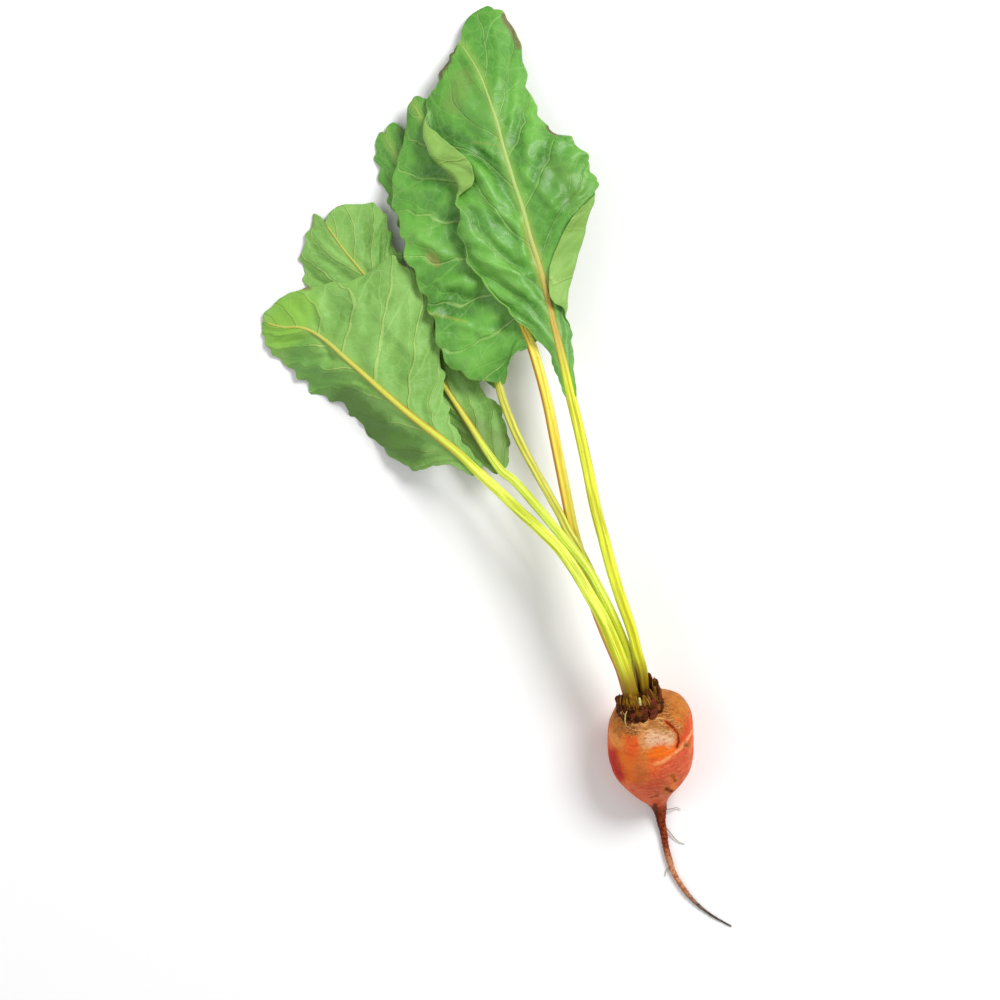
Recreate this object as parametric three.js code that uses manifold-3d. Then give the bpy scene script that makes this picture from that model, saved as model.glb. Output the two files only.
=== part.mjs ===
// Golden beetroot with five leaves, lying on its side as laid down on a table.
// Millimetres, +Z up. The origin is the middle of the flat spot that the bulb rests on.
// +Y runs from the bulb towards the leaf tips, and +X is to the right seen from above.
import * as THREE from "three";
import { mergeVertices } from "three/addons/utils/BufferGeometryUtils.js";
import Module from "manifold-3d";

const wasm = await Module();
wasm.setup();

// Bulb: its axis leans to the left and its crown end is raised, because a cone lies on its side.
const BULB_LEAN = THREE.MathUtils.degToRad(14.3);
const BULB_TILT = THREE.MathUtils.degToRad(28);
const CROWN_TOP = [-7.5, 30.2, 39];
const BULB_SIDES = 20;
// Each row: distance below the crown, radius, and shift to the right of the axis. The side that the
// bulb lies on is a little flatter than the rest.
const BULB_RINGS = [
  [0, 10, 1.2],
  [2, 17.2, 5.4],
  [5, 20.8, 6.6],
  [10, 23.2, 6],
  [17, 24.7, 5],
  [25, 25, 3.6],
  [33, 24.8, 2.6],
  [41, 23.6, 2],
  [49, 20.6, 1.7],
  [56, 15.8, 0.6],
  [62, 10.5, -0.7],
  [68, 6, -1],
  [74, 4, -0.5],
];
const BULB_UNEVEN = 0.012;
// Waves round the bulb: how many, weight, turn, and twist for each millimetre below the crown.
const BULB_WAVES = [
  [2, 1, 0.8, 0],
  [3, 0.7, 0, 0.067],
];
const BULB_LOWER = 0.92;
// Tail: x, y and radius of its middle line, which lies along the ground.
const TAIL = [
  [9, -41, 2.5],
  [10.5, -48, 2.05],
  [11.5, -54.5, 1.9],
  [13.5, -62.5, 1.85],
  [16.5, -71, 1.65],
  [22.5, -80.5, 1.45],
  [29, -88, 1.05],
  [38.5, -95.5, 0.7],
  [50, -102, 0.4],
];
const TAIL_LIFT = 0.2;
const TAIL_STEPS = 18;
const HAIR_RADIUS = 0.45;
const HAIR_TAPER = 0.35;
const HAIR_SIDES = 5;
const HAIR_ROOTS = [
  [[11, -43, 2.2], [16, -49.5, 1.4], [19, -52.5, 1], [23, -54, 0.6]],
  [[9, -34, 4], [15, -33, 3], [18, -32.5, 1.6], [20.5, -34, 0.7]],
  [[14.5, -66, 2], [12, -69, 1.4], [11, -73, 0.7]],
];
const GROUND_CUT = [400, 400, 40];

// Crown: a low dry dome round the stalks with papery scales and the stubs of cut stalks on it.
const CROWN_RINGS = [
  [-4, 11.6],
  [0, 12],
  [2.5, 11.6],
  [4.5, 10.4],
  [6, 8.4],
];
const CROWN_MIDDLE = [2.3, 1.2];
const CROWN_FRONT = 0.22;
const CROWN_SIDES = 18;
const CROWN_LOBES = 5;
const CROWN_LOBE_DEPTH = 0.05;
const CROWN_FACET_DEPTH = 0.03;
const SCALE_COUNT = 19;
const SCALE_THICK = 0.9;
const SCALE_SEED = 7;
// Least value and spread of what is drawn at random for each scale.
const SCALE_TURN = [0, 0.6];
const SCALE_OUT = [9, 2.5];
const SCALE_TALL = [3, 4.5];
const SCALE_WIDE = [4, 2.5];
const SCALE_LEAN = [0, 0.6];
// Each row: angle in degrees round the crown, distance out, height, width, thickness, lean outwards.
const CROWN_STUBS = [
  [-24, 9.8, 14, 4.6, 3, 0.05],
  [0, 10.8, 13, 4, 2.8, 0.1],
  [22, 11.2, 9.5, 3.4, 2.4, 0.15],
  [38, 10.6, 11, 3.4, 2.6, 0.1],
  [54, 11, 8, 3.8, 2.4, 0.1],
  [152, 10.8, 7, 4.2, 2.4, 0.05],
  [178, 10.2, 6, 5.6, 2.2, 0],
];
// Scales and stubs stand on the dome, with their feet inside it, and narrow towards their tips: each
// row is a share of the height and a share of the width.
const STUB_SEAT = 2;
const STUB_FOOT = 3;
const STUB_PROFILE = [
  [0.35, 1],
  [0.75, 0.7],
  [1, 0.2],
];
const SHOOT = [[-4.4, 27.9, 51], [-4.7, 29.5, 53.3], [-5.3, 32.1, 54], [-5.7, 34.4, 53.6]];
const SHOOT_RADII = [0.9, 1, 0.8, 0.45];
const SHOOT_SIDES = 8;

// Stalks and blades.
const STALK_SIDES = 8;
const STALK_STEP = 12;
const RIB_STEP = 8;
const STALK_FOOT = 0.6;
const GROOVE_DEPTH = 0.9;
const GROOVE_FULL_HEIGHT = 3;
const RIB_PROUD = 0.5;
const RIB_END = 0.9;
const BLADE_THICK = 0.7;
const BLADE_GAP = 0.45;
const BLADE_JOIN = 0.92;
const FOLD_RADIUS = 2.8;
const FOLD_EASE = 8;
const POCKET_GAP = 0.35;
const TANGENT_STEP = 0.05;

// Each leaf lists its seat in the crown (across, up), the stalk's points up to the blade, widths along
// stalk and midrib, and stations of the blade: a point on the midrib, one on the left margin and one on
// the right margin. A fold is the breadth of margin that is turned back over the blade at each station,
// and a tip bulge is how far the margin left and right of the tip is rounded out.
const LEAVES = [
  {
    name: "leaf_1",
    faceUp: true,
    seat: [7.2, 0.8],
    flatness: 1.05,
    stalkWidths: [5.2, 5.8, 6.8, 6.8, 6.2],
    ribWidths: [6, 4.8, 3.6, 2.8, 1.6, 0.9],
    stalk: [
      [-1.7, 36.7, 41.8],
      [-3.5, 50, 46],
      [-6.5, 60, 48.5],
      [-10.5, 75, 50.5],
      [-15.5, 89, 51],
      [-21, 106.5, 50.5],
      [-26, 125.5, 49.5],
      [-31, 144.5, 48.5],
      [-35.5, 167.5, 47],
      [-40, 188, 45],
      [-44.5, 206.5, 43],
    ],
    stations: [
      [[-44.5, 206.5, 43], [-48, 206.5, 43], [-41, 207, 43]],
      [[-48, 222.5, 42], [-53, 220, 41.5], [-43, 225, 41.5]],
      [[-52, 239, 40], [-59, 235, 39.5], [-44, 241, 39]],
      [[-55.5, 253, 39], [-73, 248.5, 37.5], [-47, 256, 37]],
      [[-58.5, 267, 38], [-86, 262, 36.5], [-44.5, 273, 35.5]],
      [[-63, 283, 37.5], [-100, 279, 35], [-38.5, 294, 34]],
      [[-68, 299, 37], [-107.5, 297, 34], [-33.5, 313, 33.5]],
      [[-73, 317, 36], [-109.5, 316, 32.5], [-29.5, 327, 33.5]],
      [[-78.5, 334, 35], [-111, 332, 31], [-34, 342, 31.5]],
      [[-83, 349, 33.5], [-122, 342, 27.5], [-43, 355, 29]],
      [[-86.5, 363, 30.5], [-129, 355, 24.5], [-56, 361, 26.5]],
      [[-90, 374.5, 27.5], [-128, 375, 21], [-64, 373, 22.5]],
      [[-94, 386, 23], [-121, 392, 17], [-70, 391, 16.5]],
      [[-98.5, 397, 18], [-115, 404, 12.5], [-73, 411, 9]],
      [[-104, 406.5, 13], [-111, 411, 10], [-83, 431, 3]],
      [[-108.5, 414, 9], [-110, 413, 9], [-93, 436, 0]],
    ],
    leftFold: [0, 0, 0.5, 2.5, 4, 3.5, 1, 1, 11, 17, 10, 0, 0, 0, 0, 0],
    rightFold: [0, 0, 0, 4, 14, 18.5, 12, 1, 0, 0, 0, 0, 0, 0, 0, 0],
    rows: 38,
    teeth: 15,
    arch: 2.5,
    ruffle: 1.6,
    tipBulge: [0, 5],
  },
  {
    name: "leaf_2",
    faceUp: true,
    seat: [-3.4, -1.7],
    flatness: 1.08,
    stalkWidths: [4.2, 6, 6.4, 6.5, 6.4, 6],
    ribWidths: [5.6, 4.4, 3.2, 2.4, 1.5, 0.9],
    stalk: [
      [-13.2, 38.5, 39.4],
      [-16.3, 50, 38.5],
      [-20.5, 60.5, 38.8],
      [-24.8, 71, 38],
      [-29, 82, 36],
      [-32.8, 93, 33.3],
      [-36.2, 105, 31],
      [-39.5, 117.5, 30.5],
      [-43, 130, 31],
      [-46.5, 147, 32],
      [-49.5, 162, 32.5],
      [-53.5, 182, 33],
      [-57.5, 202, 33],
      [-61.5, 218, 33],
      [-67, 236.5, 32.5],
    ],
    stations: [
      [[-67, 236.5, 32.5], [-71, 234, 32.5], [-64, 239, 32.5]],
      [[-71.5, 247, 32], [-78, 231, 30], [-60, 243, 32]],
      [[-76, 258, 31], [-86, 216, 27.5], [-56, 256, 31.5]],
      [[-81, 269.5, 30.5], [-105, 219, 25.5], [-52, 272, 31]],
      [[-86.5, 282.5, 29], [-119, 231, 24.5], [-50, 289, 30]],
      [[-92, 296, 28], [-124, 251, 24], [-53, 307, 29]],
      [[-98.5, 309.5, 26.5], [-130, 267, 23.5], [-62, 327, 28]],
      [[-105.5, 323.5, 25], [-139, 286, 21.5], [-74, 346, 26]],
      [[-113, 337.5, 23], [-143, 305, 18.5], [-89, 361, 23.5]],
      [[-120, 350, 21], [-148, 322, 15.5], [-104, 371, 21]],
      [[-127, 362.5, 18.5], [-146, 340, 14], [-117, 378, 18]],
      [[-133, 373, 16], [-141, 357, 13], [-126, 380, 15.5]],
      [[-136.5, 379.5, 14], [-139, 373, 12.5], [-133, 382, 14]],
    ],
    rows: 34,
    teeth: 14,
    arch: 1.6,
    ruffle: 1.5,
    tipBulge: [1, 1],
  },
  {
    name: "leaf_3",
    faceUp: false,
    seat: [-0.5, 4.2],
    flatness: 0.67,
    stalkWidths: [8.4, 8, 7.2, 6.6, 6.2, 6],
    ribWidths: [5.6, 4.2, 3, 2, 1.3, 0.8],
    stalk: [
      [-9, 33.5, 45],
      [-13, 47.5, 48],
      [-18.2, 60.5, 50],
      [-25.4, 77.5, 51],
      [-33, 91, 50.5],
      [-42, 106.5, 49],
      [-51.5, 119.5, 46],
      [-62, 130, 43],
      [-73.5, 140.5, 39.5],
      [-85.5, 152, 36],
      [-98, 163.5, 33],
    ],
    stations: [
      [[-98, 163.5, 33], [-101, 161, 33], [-95, 167, 33]],
      [[-109.5, 174.5, 30], [-117, 168, 27], [-102, 175, 30.5]],
      [[-122.5, 185, 27.5], [-135, 165, 13], [-111, 188, 27]],
      [[-136.5, 196, 25], [-152, 176, 5], [-117, 204, 23.5]],
      [[-150, 207.5, 23], [-166, 191, 1.5], [-119, 226, 20]],
      [[-164, 220, 20.5], [-178, 204, 3.5], [-123, 251, 18]],
      [[-177, 231.5, 17.5], [-192, 209, 1.5], [-133, 275, 16]],
      [[-186, 239.5, 15], [-202, 219, 2], [-148, 288, 14.5]],
      [[-195, 245.5, 12.5], [-211, 227, 1], [-168, 276, 12.5]],
      [[-203, 248, 10.5], [-219, 234, 2.5], [-186, 273, 9.5]],
      [[-211, 248, 8], [-223, 242, 2], [-201, 270, 7.5]],
      [[-217.5, 249.5, 5], [-224, 247, 1], [-212, 266, 4.5]],
      [[-223, 251.5, 2.5], [-224.5, 250.5, 0.8], [-220, 259, 2]],
    ],
    rows: 34,
    teeth: 14,
    arch: 2,
    ruffle: 1.5,
    tipBulge: [0.5, 2],
  },
  {
    name: "leaf_4",
    faceUp: false,
    seat: [1.7, -2.4],
    flatness: 0.93,
    stalkWidths: [5.4, 5.6, 5.6, 5.5, 5.2],
    ribWidths: [5, 3.8, 2.8, 1.9, 1.2, 0.8],
    stalk: [
      [-8, 36.5, 39],
      [-10.2, 47.5, 42.5],
      [-12.5, 60.5, 45.5],
      [-18.2, 75, 47.5],
      [-25, 89.5, 48],
      [-33, 104.5, 46.5],
      [-40.5, 115, 44.5],
      [-47, 123, 42.5],
      [-54.5, 132, 39.5],
      [-62, 141, 37],
      [-76.5, 157.5, 31.5],
      [-84.5, 164, 28],
    ],
    stations: [
      [[-84.5, 164, 28], [-87.5, 162, 28], [-81, 167, 28]],
      [[-93, 175.5, 24], [-97, 169, 23], [-80, 178, 21]],
      [[-102, 189.5, 19], [-111, 184, 15], [-84, 198, 17.5]],
      [[-111.5, 204, 15], [-128, 198, 9], [-96, 212, 13.5]],
      [[-120.5, 217.5, 12], [-143, 215, 6], [-110, 228, 11]],
      [[-130.5, 232, 10.5], [-158, 231, 4], [-122, 249, 10]],
      [[-141, 246.5, 9.5], [-172, 247, 2.5], [-134, 269, 9]],
      [[-151.5, 261.5, 9], [-185, 260, 1.5], [-142, 286, 8.5]],
      [[-161, 274.5, 8.5], [-197, 272, 1], [-148, 298, 8.5]],
      [[-170, 285.5, 8], [-201, 286, 2], [-151, 310, 7.5]],
      [[-177, 294, 7], [-199, 299, 2.5], [-157, 319, 6]],
      [[-182.5, 302, 6], [-195, 309, 1.5], [-169, 320, 4]],
      [[-187.5, 309, 4], [-194, 315, 1], [-180, 319, 3]],
    ],
    rows: 30,
    teeth: 12,
    arch: 1.2,
    ruffle: 1.2,
    tipBulge: [1, 1.5],
  },
  {
    name: "leaf_5",
    faceUp: true,
    seat: [4.5, -7],
    flatness: 0.96,
    stalkWidths: [5.2, 5.4, 5.2, 5, 4.8],
    ribWidths: [4.6, 3.6, 2.6, 1.8, 1.2, 0.8],
    stalk: [
      [-5, 39, 34.5],
      [-8.5, 51.5, 36.5],
      [-11.5, 60.5, 37.5],
      [-21.5, 80.5, 39],
      [-28.5, 94, 39],
      [-33, 105.5, 38.5],
      [-40, 119.5, 37.5],
      [-46.5, 130, 36.5],
      [-50.5, 138.5, 35],
      [-55.5, 147.5, 33],
      [-65, 164.5, 30],
      [-75, 183.5, 27],
      [-82.5, 202, 23.5],
      [-86, 213.5, 22],
    ],
    stations: [
      [[-86, 213.5, 22], [-89, 212, 21.5], [-82, 215, 22]],
      [[-90.5, 227.5, 18.5], [-98, 222, 14], [-80, 233, 19.5]],
      [[-95.5, 242.5, 16], [-107, 237, 8.5], [-78, 251, 17.5]],
      [[-101, 257.5, 13.5], [-115, 252, 5], [-81, 268, 15]],
      [[-106.5, 272.5, 11.5], [-122, 268, 3], [-87, 286, 12.5]],
      [[-113, 287.5, 10], [-130, 285, 2], [-96, 303, 10.5]],
      [[-120, 303, 8.5], [-138, 299, 1.5], [-106, 318, 9]],
      [[-127.5, 317.5, 8], [-146, 313, 1.5], [-116, 332, 8]],
      [[-135, 330.5, 7], [-152, 327, 2], [-126, 345, 7]],
      [[-142, 342, 6], [-157, 342, 1.5], [-135, 356, 6]],
      [[-148.5, 352.5, 4.5], [-158, 354, 1], [-143, 365, 4]],
      [[-152, 361, 3], [-156, 362, 0.8], [-148, 368, 2]],
    ],
    rows: 30,
    teeth: 12,
    arch: 1.2,
    ruffle: 1.2,
    tipBulge: [1, 1.5],
  },
];
const BLADE_COLUMNS = 5;
const FOLD_COLUMNS = 3;
const TURNED_COLUMNS = 2;
const NARROWEST_STRIP = 0.8;
const LEAST_SQUARENESS = 0.5;
const TOOTH_DEPTH = 1.6;
const TOOTH_LOST_ON_FOLD = 0.75;
const RUFFLE_WAVES = 5;
const QUILT_DEPTH = 0.9;
// Side veins on each half of a blade, how far they lean towards the tip, and how far those on the right
// are set off from those on the left, in shares of their spacing.
const SIDE_VEINS = 8;
const VEIN_LEAN = 0.22;
const VEIN_OFFSET = 0.45;
// The blade lies flatter where it is narrower than this, and from this share of its length the tip
// bulge begins.
const CALM_WIDTH = 25;
const CALM_RISE = 1.05;
const TIP_START = 0.86;

const UP = new THREE.Vector3(0, 0, 1);
const bulbAxis = new THREE.Vector3(
  -Math.sin(BULB_LEAN) * Math.cos(BULB_TILT),
  Math.cos(BULB_LEAN) * Math.cos(BULB_TILT),
  Math.sin(BULB_TILT),
);
const bulbAcross = new THREE.Vector3(Math.cos(BULB_LEAN), Math.sin(BULB_LEAN), 0);
const bulbUpper = new THREE.Vector3().crossVectors(bulbAcross, bulbAxis);

// A point given by its place across, up and along the bulb's axis, counted from the crown.
function atCrown(across, upper, height) {
  return new THREE.Vector3(...CROWN_TOP)
    .addScaledVector(bulbAcross, across)
    .addScaledVector(bulbUpper, upper)
    .addScaledVector(bulbAxis, height);
}

// Smooth curve through rows of numbers, at a place counted in rows (uniform Catmull-Rom).
function curveAt(rows, place) {
  const first = Math.min(Math.max(Math.floor(place), 0), rows.length - 2);
  const f = place - first;
  const b = rows[first];
  const c = rows[first + 1];
  const a = first > 0 ? rows[first - 1] : b.map((v, k) => 2 * v - c[k]);
  const d = first + 2 < rows.length ? rows[first + 2] : c.map((v, k) => 2 * v - b[k]);
  return b.map((_, k) => {
    const bend = 2 * a[k] - 5 * b[k] + 4 * c[k] - d[k];
    const twist = 3 * b[k] - a[k] - 3 * c[k] + d[k];
    return b[k] + 0.5 * f * (c[k] - a[k] + f * (bend + f * twist));
  });
}

// One number along a list of numbers spread evenly from 0 to 1.
function valueAt(values, t) {
  return curveAt(values.map((v) => [v]), t * (values.length - 1))[0];
}

// An indexed geometry from points and triangles, with its faces turned to point outwards.
function shell(points, triangles) {
  const positions = new Float32Array(points.flatMap((p) => [p.x, p.y, p.z]));
  const volume = triangles.reduce((sum, [i, j, k]) => {
    const normal = new THREE.Vector3().crossVectors(points[i], points[j]);
    return sum + normal.dot(points[k]);
  }, 0);
  const faces = volume < 0 ? triangles.map(([i, j, k]) => [i, k, j]) : triangles;
  return new THREE.BufferGeometry()
    .setAttribute("position", new THREE.BufferAttribute(positions, 3))
    .setIndex(faces.flat());
}

// A closed body through rings of equally many points, closed at both ends by a fan.
function loft(rings) {
  const sides = rings[0].length;
  const points = rings.flat();
  const triangles = [];
  for (let r = 0; r + 1 < rings.length; r++) {
    for (let k = 0; k < sides; k++) {
      const here = r * sides + k;
      const next = r * sides + ((k + 1) % sides);
      triangles.push([here, next, next + sides], [here, next + sides, here + sides]);
    }
  }
  for (const [ring, turned] of [[0, true], [rings.length - 1, false]]) {
    const middle = points.length;
    const sum = rings[ring].reduce((s, p) => s.add(p), new THREE.Vector3());
    points.push(sum.divideScalar(sides));
    for (let k = 0; k < sides; k++) {
      const pair = [ring * sides + k, ring * sides + ((k + 1) % sides)];
      triangles.push(turned ? [pair[1], pair[0], middle] : [pair[0], pair[1], middle]);
    }
  }
  return shell(points, triangles);
}

// A ring of points round a middle, in the plane of two directions.
function ring(middle, right, upper, sides, place) {
  return Array.from({ length: sides }, (_, k) => {
    const angle = (2 * Math.PI * k) / sides;
    const [x, y] = place(angle, k);
    return middle.clone().addScaledVector(right, x).addScaledVector(upper, y);
  });
}

// The level direction to the right of a strand, and the direction square to both.
function sectionFrame(forward) {
  const right = new THREE.Vector3().crossVectors(forward, UP).normalize();
  return [right, new THREE.Vector3().crossVectors(right, forward).normalize()];
}

// A round tube through points, with a radius at each.
function tube(points, radii, sides) {
  const rings = points.map((p, i) => {
    const ahead = points[Math.min(i + 1, points.length - 1)];
    const behind = points[Math.max(i - 1, 0)];
    const forward = new THREE.Vector3().subVectors(ahead, behind).normalize();
    const [right, upper] = sectionFrame(forward);
    return ring(p, right, upper, sides, (a) => [radii[i] * Math.cos(a), radii[i] * Math.sin(a)]);
  });
  return loft(rings);
}

function toSolid(geometry) {
  const merged = mergeVertices(geometry, 1e-3);
  return new wasm.Manifold(
    new wasm.Mesh({
      numProp: 3,
      vertProperties: merged.attributes.position.array,
      triVerts: new Uint32Array(merged.index.array),
    }),
  );
}

function toGeometry(solid) {
  const mesh = solid.getMesh();
  return new THREE.BufferGeometry()
    .setAttribute("position", new THREE.BufferAttribute(mesh.vertProperties, 3))
    .setIndex(new THREE.BufferAttribute(mesh.triVerts, 1));
}

// The largest of the bodies that a cut leaves.
function mainBody(solid) {
  return solid.decompose().sort((a, b) => b.volume() - a.volume())[0];
}

// Bulb from the crown down to the start of the tail, thicker all round by a margin.
function bulbRings(margin) {
  const steps = BULB_RINGS.length - 1;
  const places = BULB_RINGS.slice(1).flatMap((_, i) => [i, i + 0.5]);
  return [...places, steps].map((place) => {
    const [below, radius, shift] = curveAt(BULB_RINGS, place);
    const height = margin - below;
    return ring(atCrown(shift, 0, height), bulbAcross, bulbUpper, BULB_SIDES, (a) => {
      const uneven = BULB_WAVES.reduce(
        (sum, [count, weight, turn, twist]) => sum + weight * Math.sin(count * a + turn + twist * below),
        0,
      );
      const reach = (radius + margin) * (1 + BULB_UNEVEN * uneven);
      const rise = reach * Math.sin(a);
      return [reach * Math.cos(a), rise < 0 ? BULB_LOWER * rise : rise];
    });
  });
}

function tailRings() {
  const last = TAIL.length - 1;
  const point = (place) => {
    const [x, y, radius] = curveAt(TAIL, place);
    return [new THREE.Vector3(x, y, radius + TAIL_LIFT), radius];
  };
  return Array.from({ length: TAIL_STEPS + 1 }, (_, i) => {
    const place = (i / TAIL_STEPS) * last;
    const [middle, radius] = point(place);
    const [ahead] = point(Math.min(place + TANGENT_STEP, last));
    const [behind] = point(Math.max(place - TANGENT_STEP, 0));
    const forward = ahead.sub(behind).normalize();
    const right = new THREE.Vector3().crossVectors(UP, forward).normalize();
    const upper = new THREE.Vector3().crossVectors(forward, right);
    return ring(middle, right, upper, BULB_SIDES, (a) => [
      radius * Math.cos(a),
      radius * Math.sin(a),
    ]);
  });
}

// The root lies on a small flat spot, so what would reach below the ground is cut away.
function rootGeometry() {
  const hairs = HAIR_ROOTS.map((points) => {
    const places = points.map((p) => new THREE.Vector3(...p));
    const radii = points.map((_, i) => HAIR_RADIUS * (1 - (HAIR_TAPER * i) / points.length));
    return toSolid(tube(places, radii, HAIR_SIDES));
  });
  const below = new THREE.BoxGeometry(...GROUND_CUT).translate(0, 0, -GROUND_CUT[2] / 2);
  below.deleteAttribute("normal");
  below.deleteAttribute("uv");
  const bulb = toSolid(loft([...bulbRings(0), ...tailRings()]));
  const grown = hairs.reduce((body, hair) => body.add(hair), bulb);
  return toGeometry(grown.subtract(toSolid(below)));
}

// Stalk and midrib of a leaf as one strand of points, starting in the crown.
function strandOf(leaf) {
  const foot = atCrown(...leaf.seat, STALK_FOOT).toArray();
  const ribPoints = leaf.stations.map((s) => s[0]).slice(1);
  return [foot, ...leaf.stalk, ...ribPoints];
}

// Half the width of a strand, and half its height, at a place counted in points.
function strandSize(leaf, place) {
  const neck = leaf.stalk.length;
  const ribSteps = leaf.stations.length - 1;
  const width =
    place < neck
      ? valueAt(leaf.stalkWidths, place / neck)
      : valueAt(leaf.ribWidths, (place - neck) / ribSteps);
  return [width / 2, (width / 2) * leaf.flatness];
}

// The stalk and midrib: flattened, grooved on the leaf's upper side, and standing out on its underside.
function stalkGeometry(leaf, margin = 0) {
  const strand = strandOf(leaf);
  const neck = leaf.stalk.length;
  const lastPlace = neck + RIB_END * (leaf.stations.length - 1);
  const proud = leaf.faceUp ? -RIB_PROUD : RIB_PROUD;
  const grooveSide = leaf.faceUp ? STALK_SIDES / 4 : (3 * STALK_SIDES) / 4;
  const middleAt = (place) => {
    const [, halfHeight] = strandSize(leaf, place);
    const eased = THREE.MathUtils.clamp(place - neck + 1, 0, 1);
    const middle = new THREE.Vector3(...curveAt(strand, place));
    return middle.addScaledVector(UP, proud * halfHeight * eased);
  };
  const places = [0];
  while (places.at(-1) < lastPlace) {
    const here = places.at(-1);
    const step = here < neck ? STALK_STEP : RIB_STEP;
    const gap = middleAt(here).distanceTo(middleAt(here + TANGENT_STEP)) / TANGENT_STEP;
    places.push(here + step / Math.max(gap, step / 2));
  }
  const stretch = lastPlace / places.at(-1);
  const rings = places.map((p) => {
    const place = p * stretch;
    const [halfWidth, halfHeight] = strandSize(leaf, place);
    const behind = middleAt(Math.max(place - TANGENT_STEP, 0));
    const [right, upper] = sectionFrame(middleAt(place + TANGENT_STEP).sub(behind).normalize());
    return ring(middleAt(place), right, upper, STALK_SIDES, (a, k) => {
      const grooveShare = Math.min(1, halfHeight / GROOVE_FULL_HEIGHT);
      const groove = k === grooveSide ? GROOVE_DEPTH * grooveShare : 0;
      const rise = halfHeight + margin - groove;
      return [(halfWidth + margin) * Math.cos(a), rise * Math.sin(a)];
    });
  });
  return loft(rings);
}

// Draws from a seeded row of random numbers, each given as the least value and the spread above it.
function seededDraws(seed) {
  const factor = 16807;
  const modulus = 2147483647;
  let state = (seed * factor) % modulus;
  return ([least, spread]) => {
    state = (state * factor) % modulus;
    return least + (spread * state) / modulus;
  };
}

// The crown keeps clear of the bulb and of each stalk, which stands in a pocket of its own.
function crownGeometry(leaves) {
  const rings = CROWN_RINGS.map(([height, radius]) =>
    ring(atCrown(...CROWN_MIDDLE, height), bulbAcross, bulbUpper, CROWN_SIDES, (a, k) => {
      const front = 1 + CROWN_FRONT * Math.max(Math.sin(a), 0);
      const lobes = CROWN_LOBE_DEPTH * Math.sin(CROWN_LOBES * a);
      const facets = k % 2 ? CROWN_FACET_DEPTH : -CROWN_FACET_DEPTH;
      const reach = radius * front * (1 + lobes + facets);
      return [reach * Math.cos(a), reach * Math.sin(a)];
    }),
  );
  const draw = seededDraws(SCALE_SEED);
  const scales = Array.from({ length: SCALE_COUNT }, (_, i) => {
    const angle = (360 * (i + draw(SCALE_TURN))) / SCALE_COUNT;
    return [angle, draw(SCALE_OUT), draw(SCALE_TALL), draw(SCALE_WIDE), SCALE_THICK, draw(SCALE_LEAN)];
  });
  const pieces = [...scales, ...CROWN_STUBS].map(([angle, out, tall, wide, thick, lean]) => {
    const turn = THREE.MathUtils.degToRad(angle);
    const radial = new THREE.Vector3()
      .addScaledVector(bulbAcross, Math.cos(turn))
      .addScaledVector(bulbUpper, Math.sin(turn));
    const side = new THREE.Vector3().crossVectors(bulbAxis, radial);
    const front = 1 + CROWN_FRONT * Math.max(Math.sin(turn), 0);
    const steps = [[-STUB_FOOT / tall, 1], ...STUB_PROFILE];
    const sections = steps.map(([rise, share]) => {
      const away = out * front + lean * tall * Math.max(rise, 0) ** 2;
      const height = STUB_SEAT + rise * tall;
      const middle = atCrown(...CROWN_MIDDLE, height).addScaledVector(radial, away);
      return [[-1, -1], [1, -1], [1, 1], [-1, 1]].map(([w, d]) =>
        middle
          .clone()
          .addScaledVector(side, (w * wide * share) / 2)
          .addScaledVector(radial, (d * thick) / 2),
      );
    });
    return toSolid(loft(sections));
  });
  const grown = pieces.reduce((body, piece) => body.add(piece), toSolid(loft(rings)));
  const hollow = leaves.reduce(
    (body, leaf) => body.add(toSolid(stalkGeometry(leaf, POCKET_GAP))),
    toSolid(loft(bulbRings(POCKET_GAP))).add(toSolid(shootGeometry(POCKET_GAP))),
  );
  return toGeometry(mainBody(grown.subtract(hollow)));
}

// How far a margin is rolled, from 0 where it lies flat to 1 where it is turned right over.
function foldShare(fold) {
  return THREE.MathUtils.clamp(fold / FOLD_EASE, 0, 1);
}

// Distances from the midrib to the blade's columns at one station, and the roll that they follow.
function columnDistances(reach, inner, fold) {
  const eased = foldShare(fold);
  const radius = FOLD_RADIUS * eased;
  const flat = reach - radius;
  const turned = Math.max(fold - radius, 0);
  const columns = BLADE_COLUMNS + (fold === null ? 0 : FOLD_COLUMNS + TURNED_COLUMNS);
  const distances = Array.from({ length: columns + 1 }, (_, k) => {
    const even = inner + ((reach - inner) * k) / columns;
    const onFlat = inner + ((flat - inner) * Math.min(k, BLADE_COLUMNS)) / BLADE_COLUMNS;
    const onFold = THREE.MathUtils.clamp(k - BLADE_COLUMNS, 0, FOLD_COLUMNS) / FOLD_COLUMNS;
    const onTurned = Math.max(k - BLADE_COLUMNS - FOLD_COLUMNS, 0) / TURNED_COLUMNS;
    const folded = onFlat + onFold * Math.PI * radius + onTurned * turned;
    return even + (folded - even) * eased;
  });
  return [distances, flat, radius];
}

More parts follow.
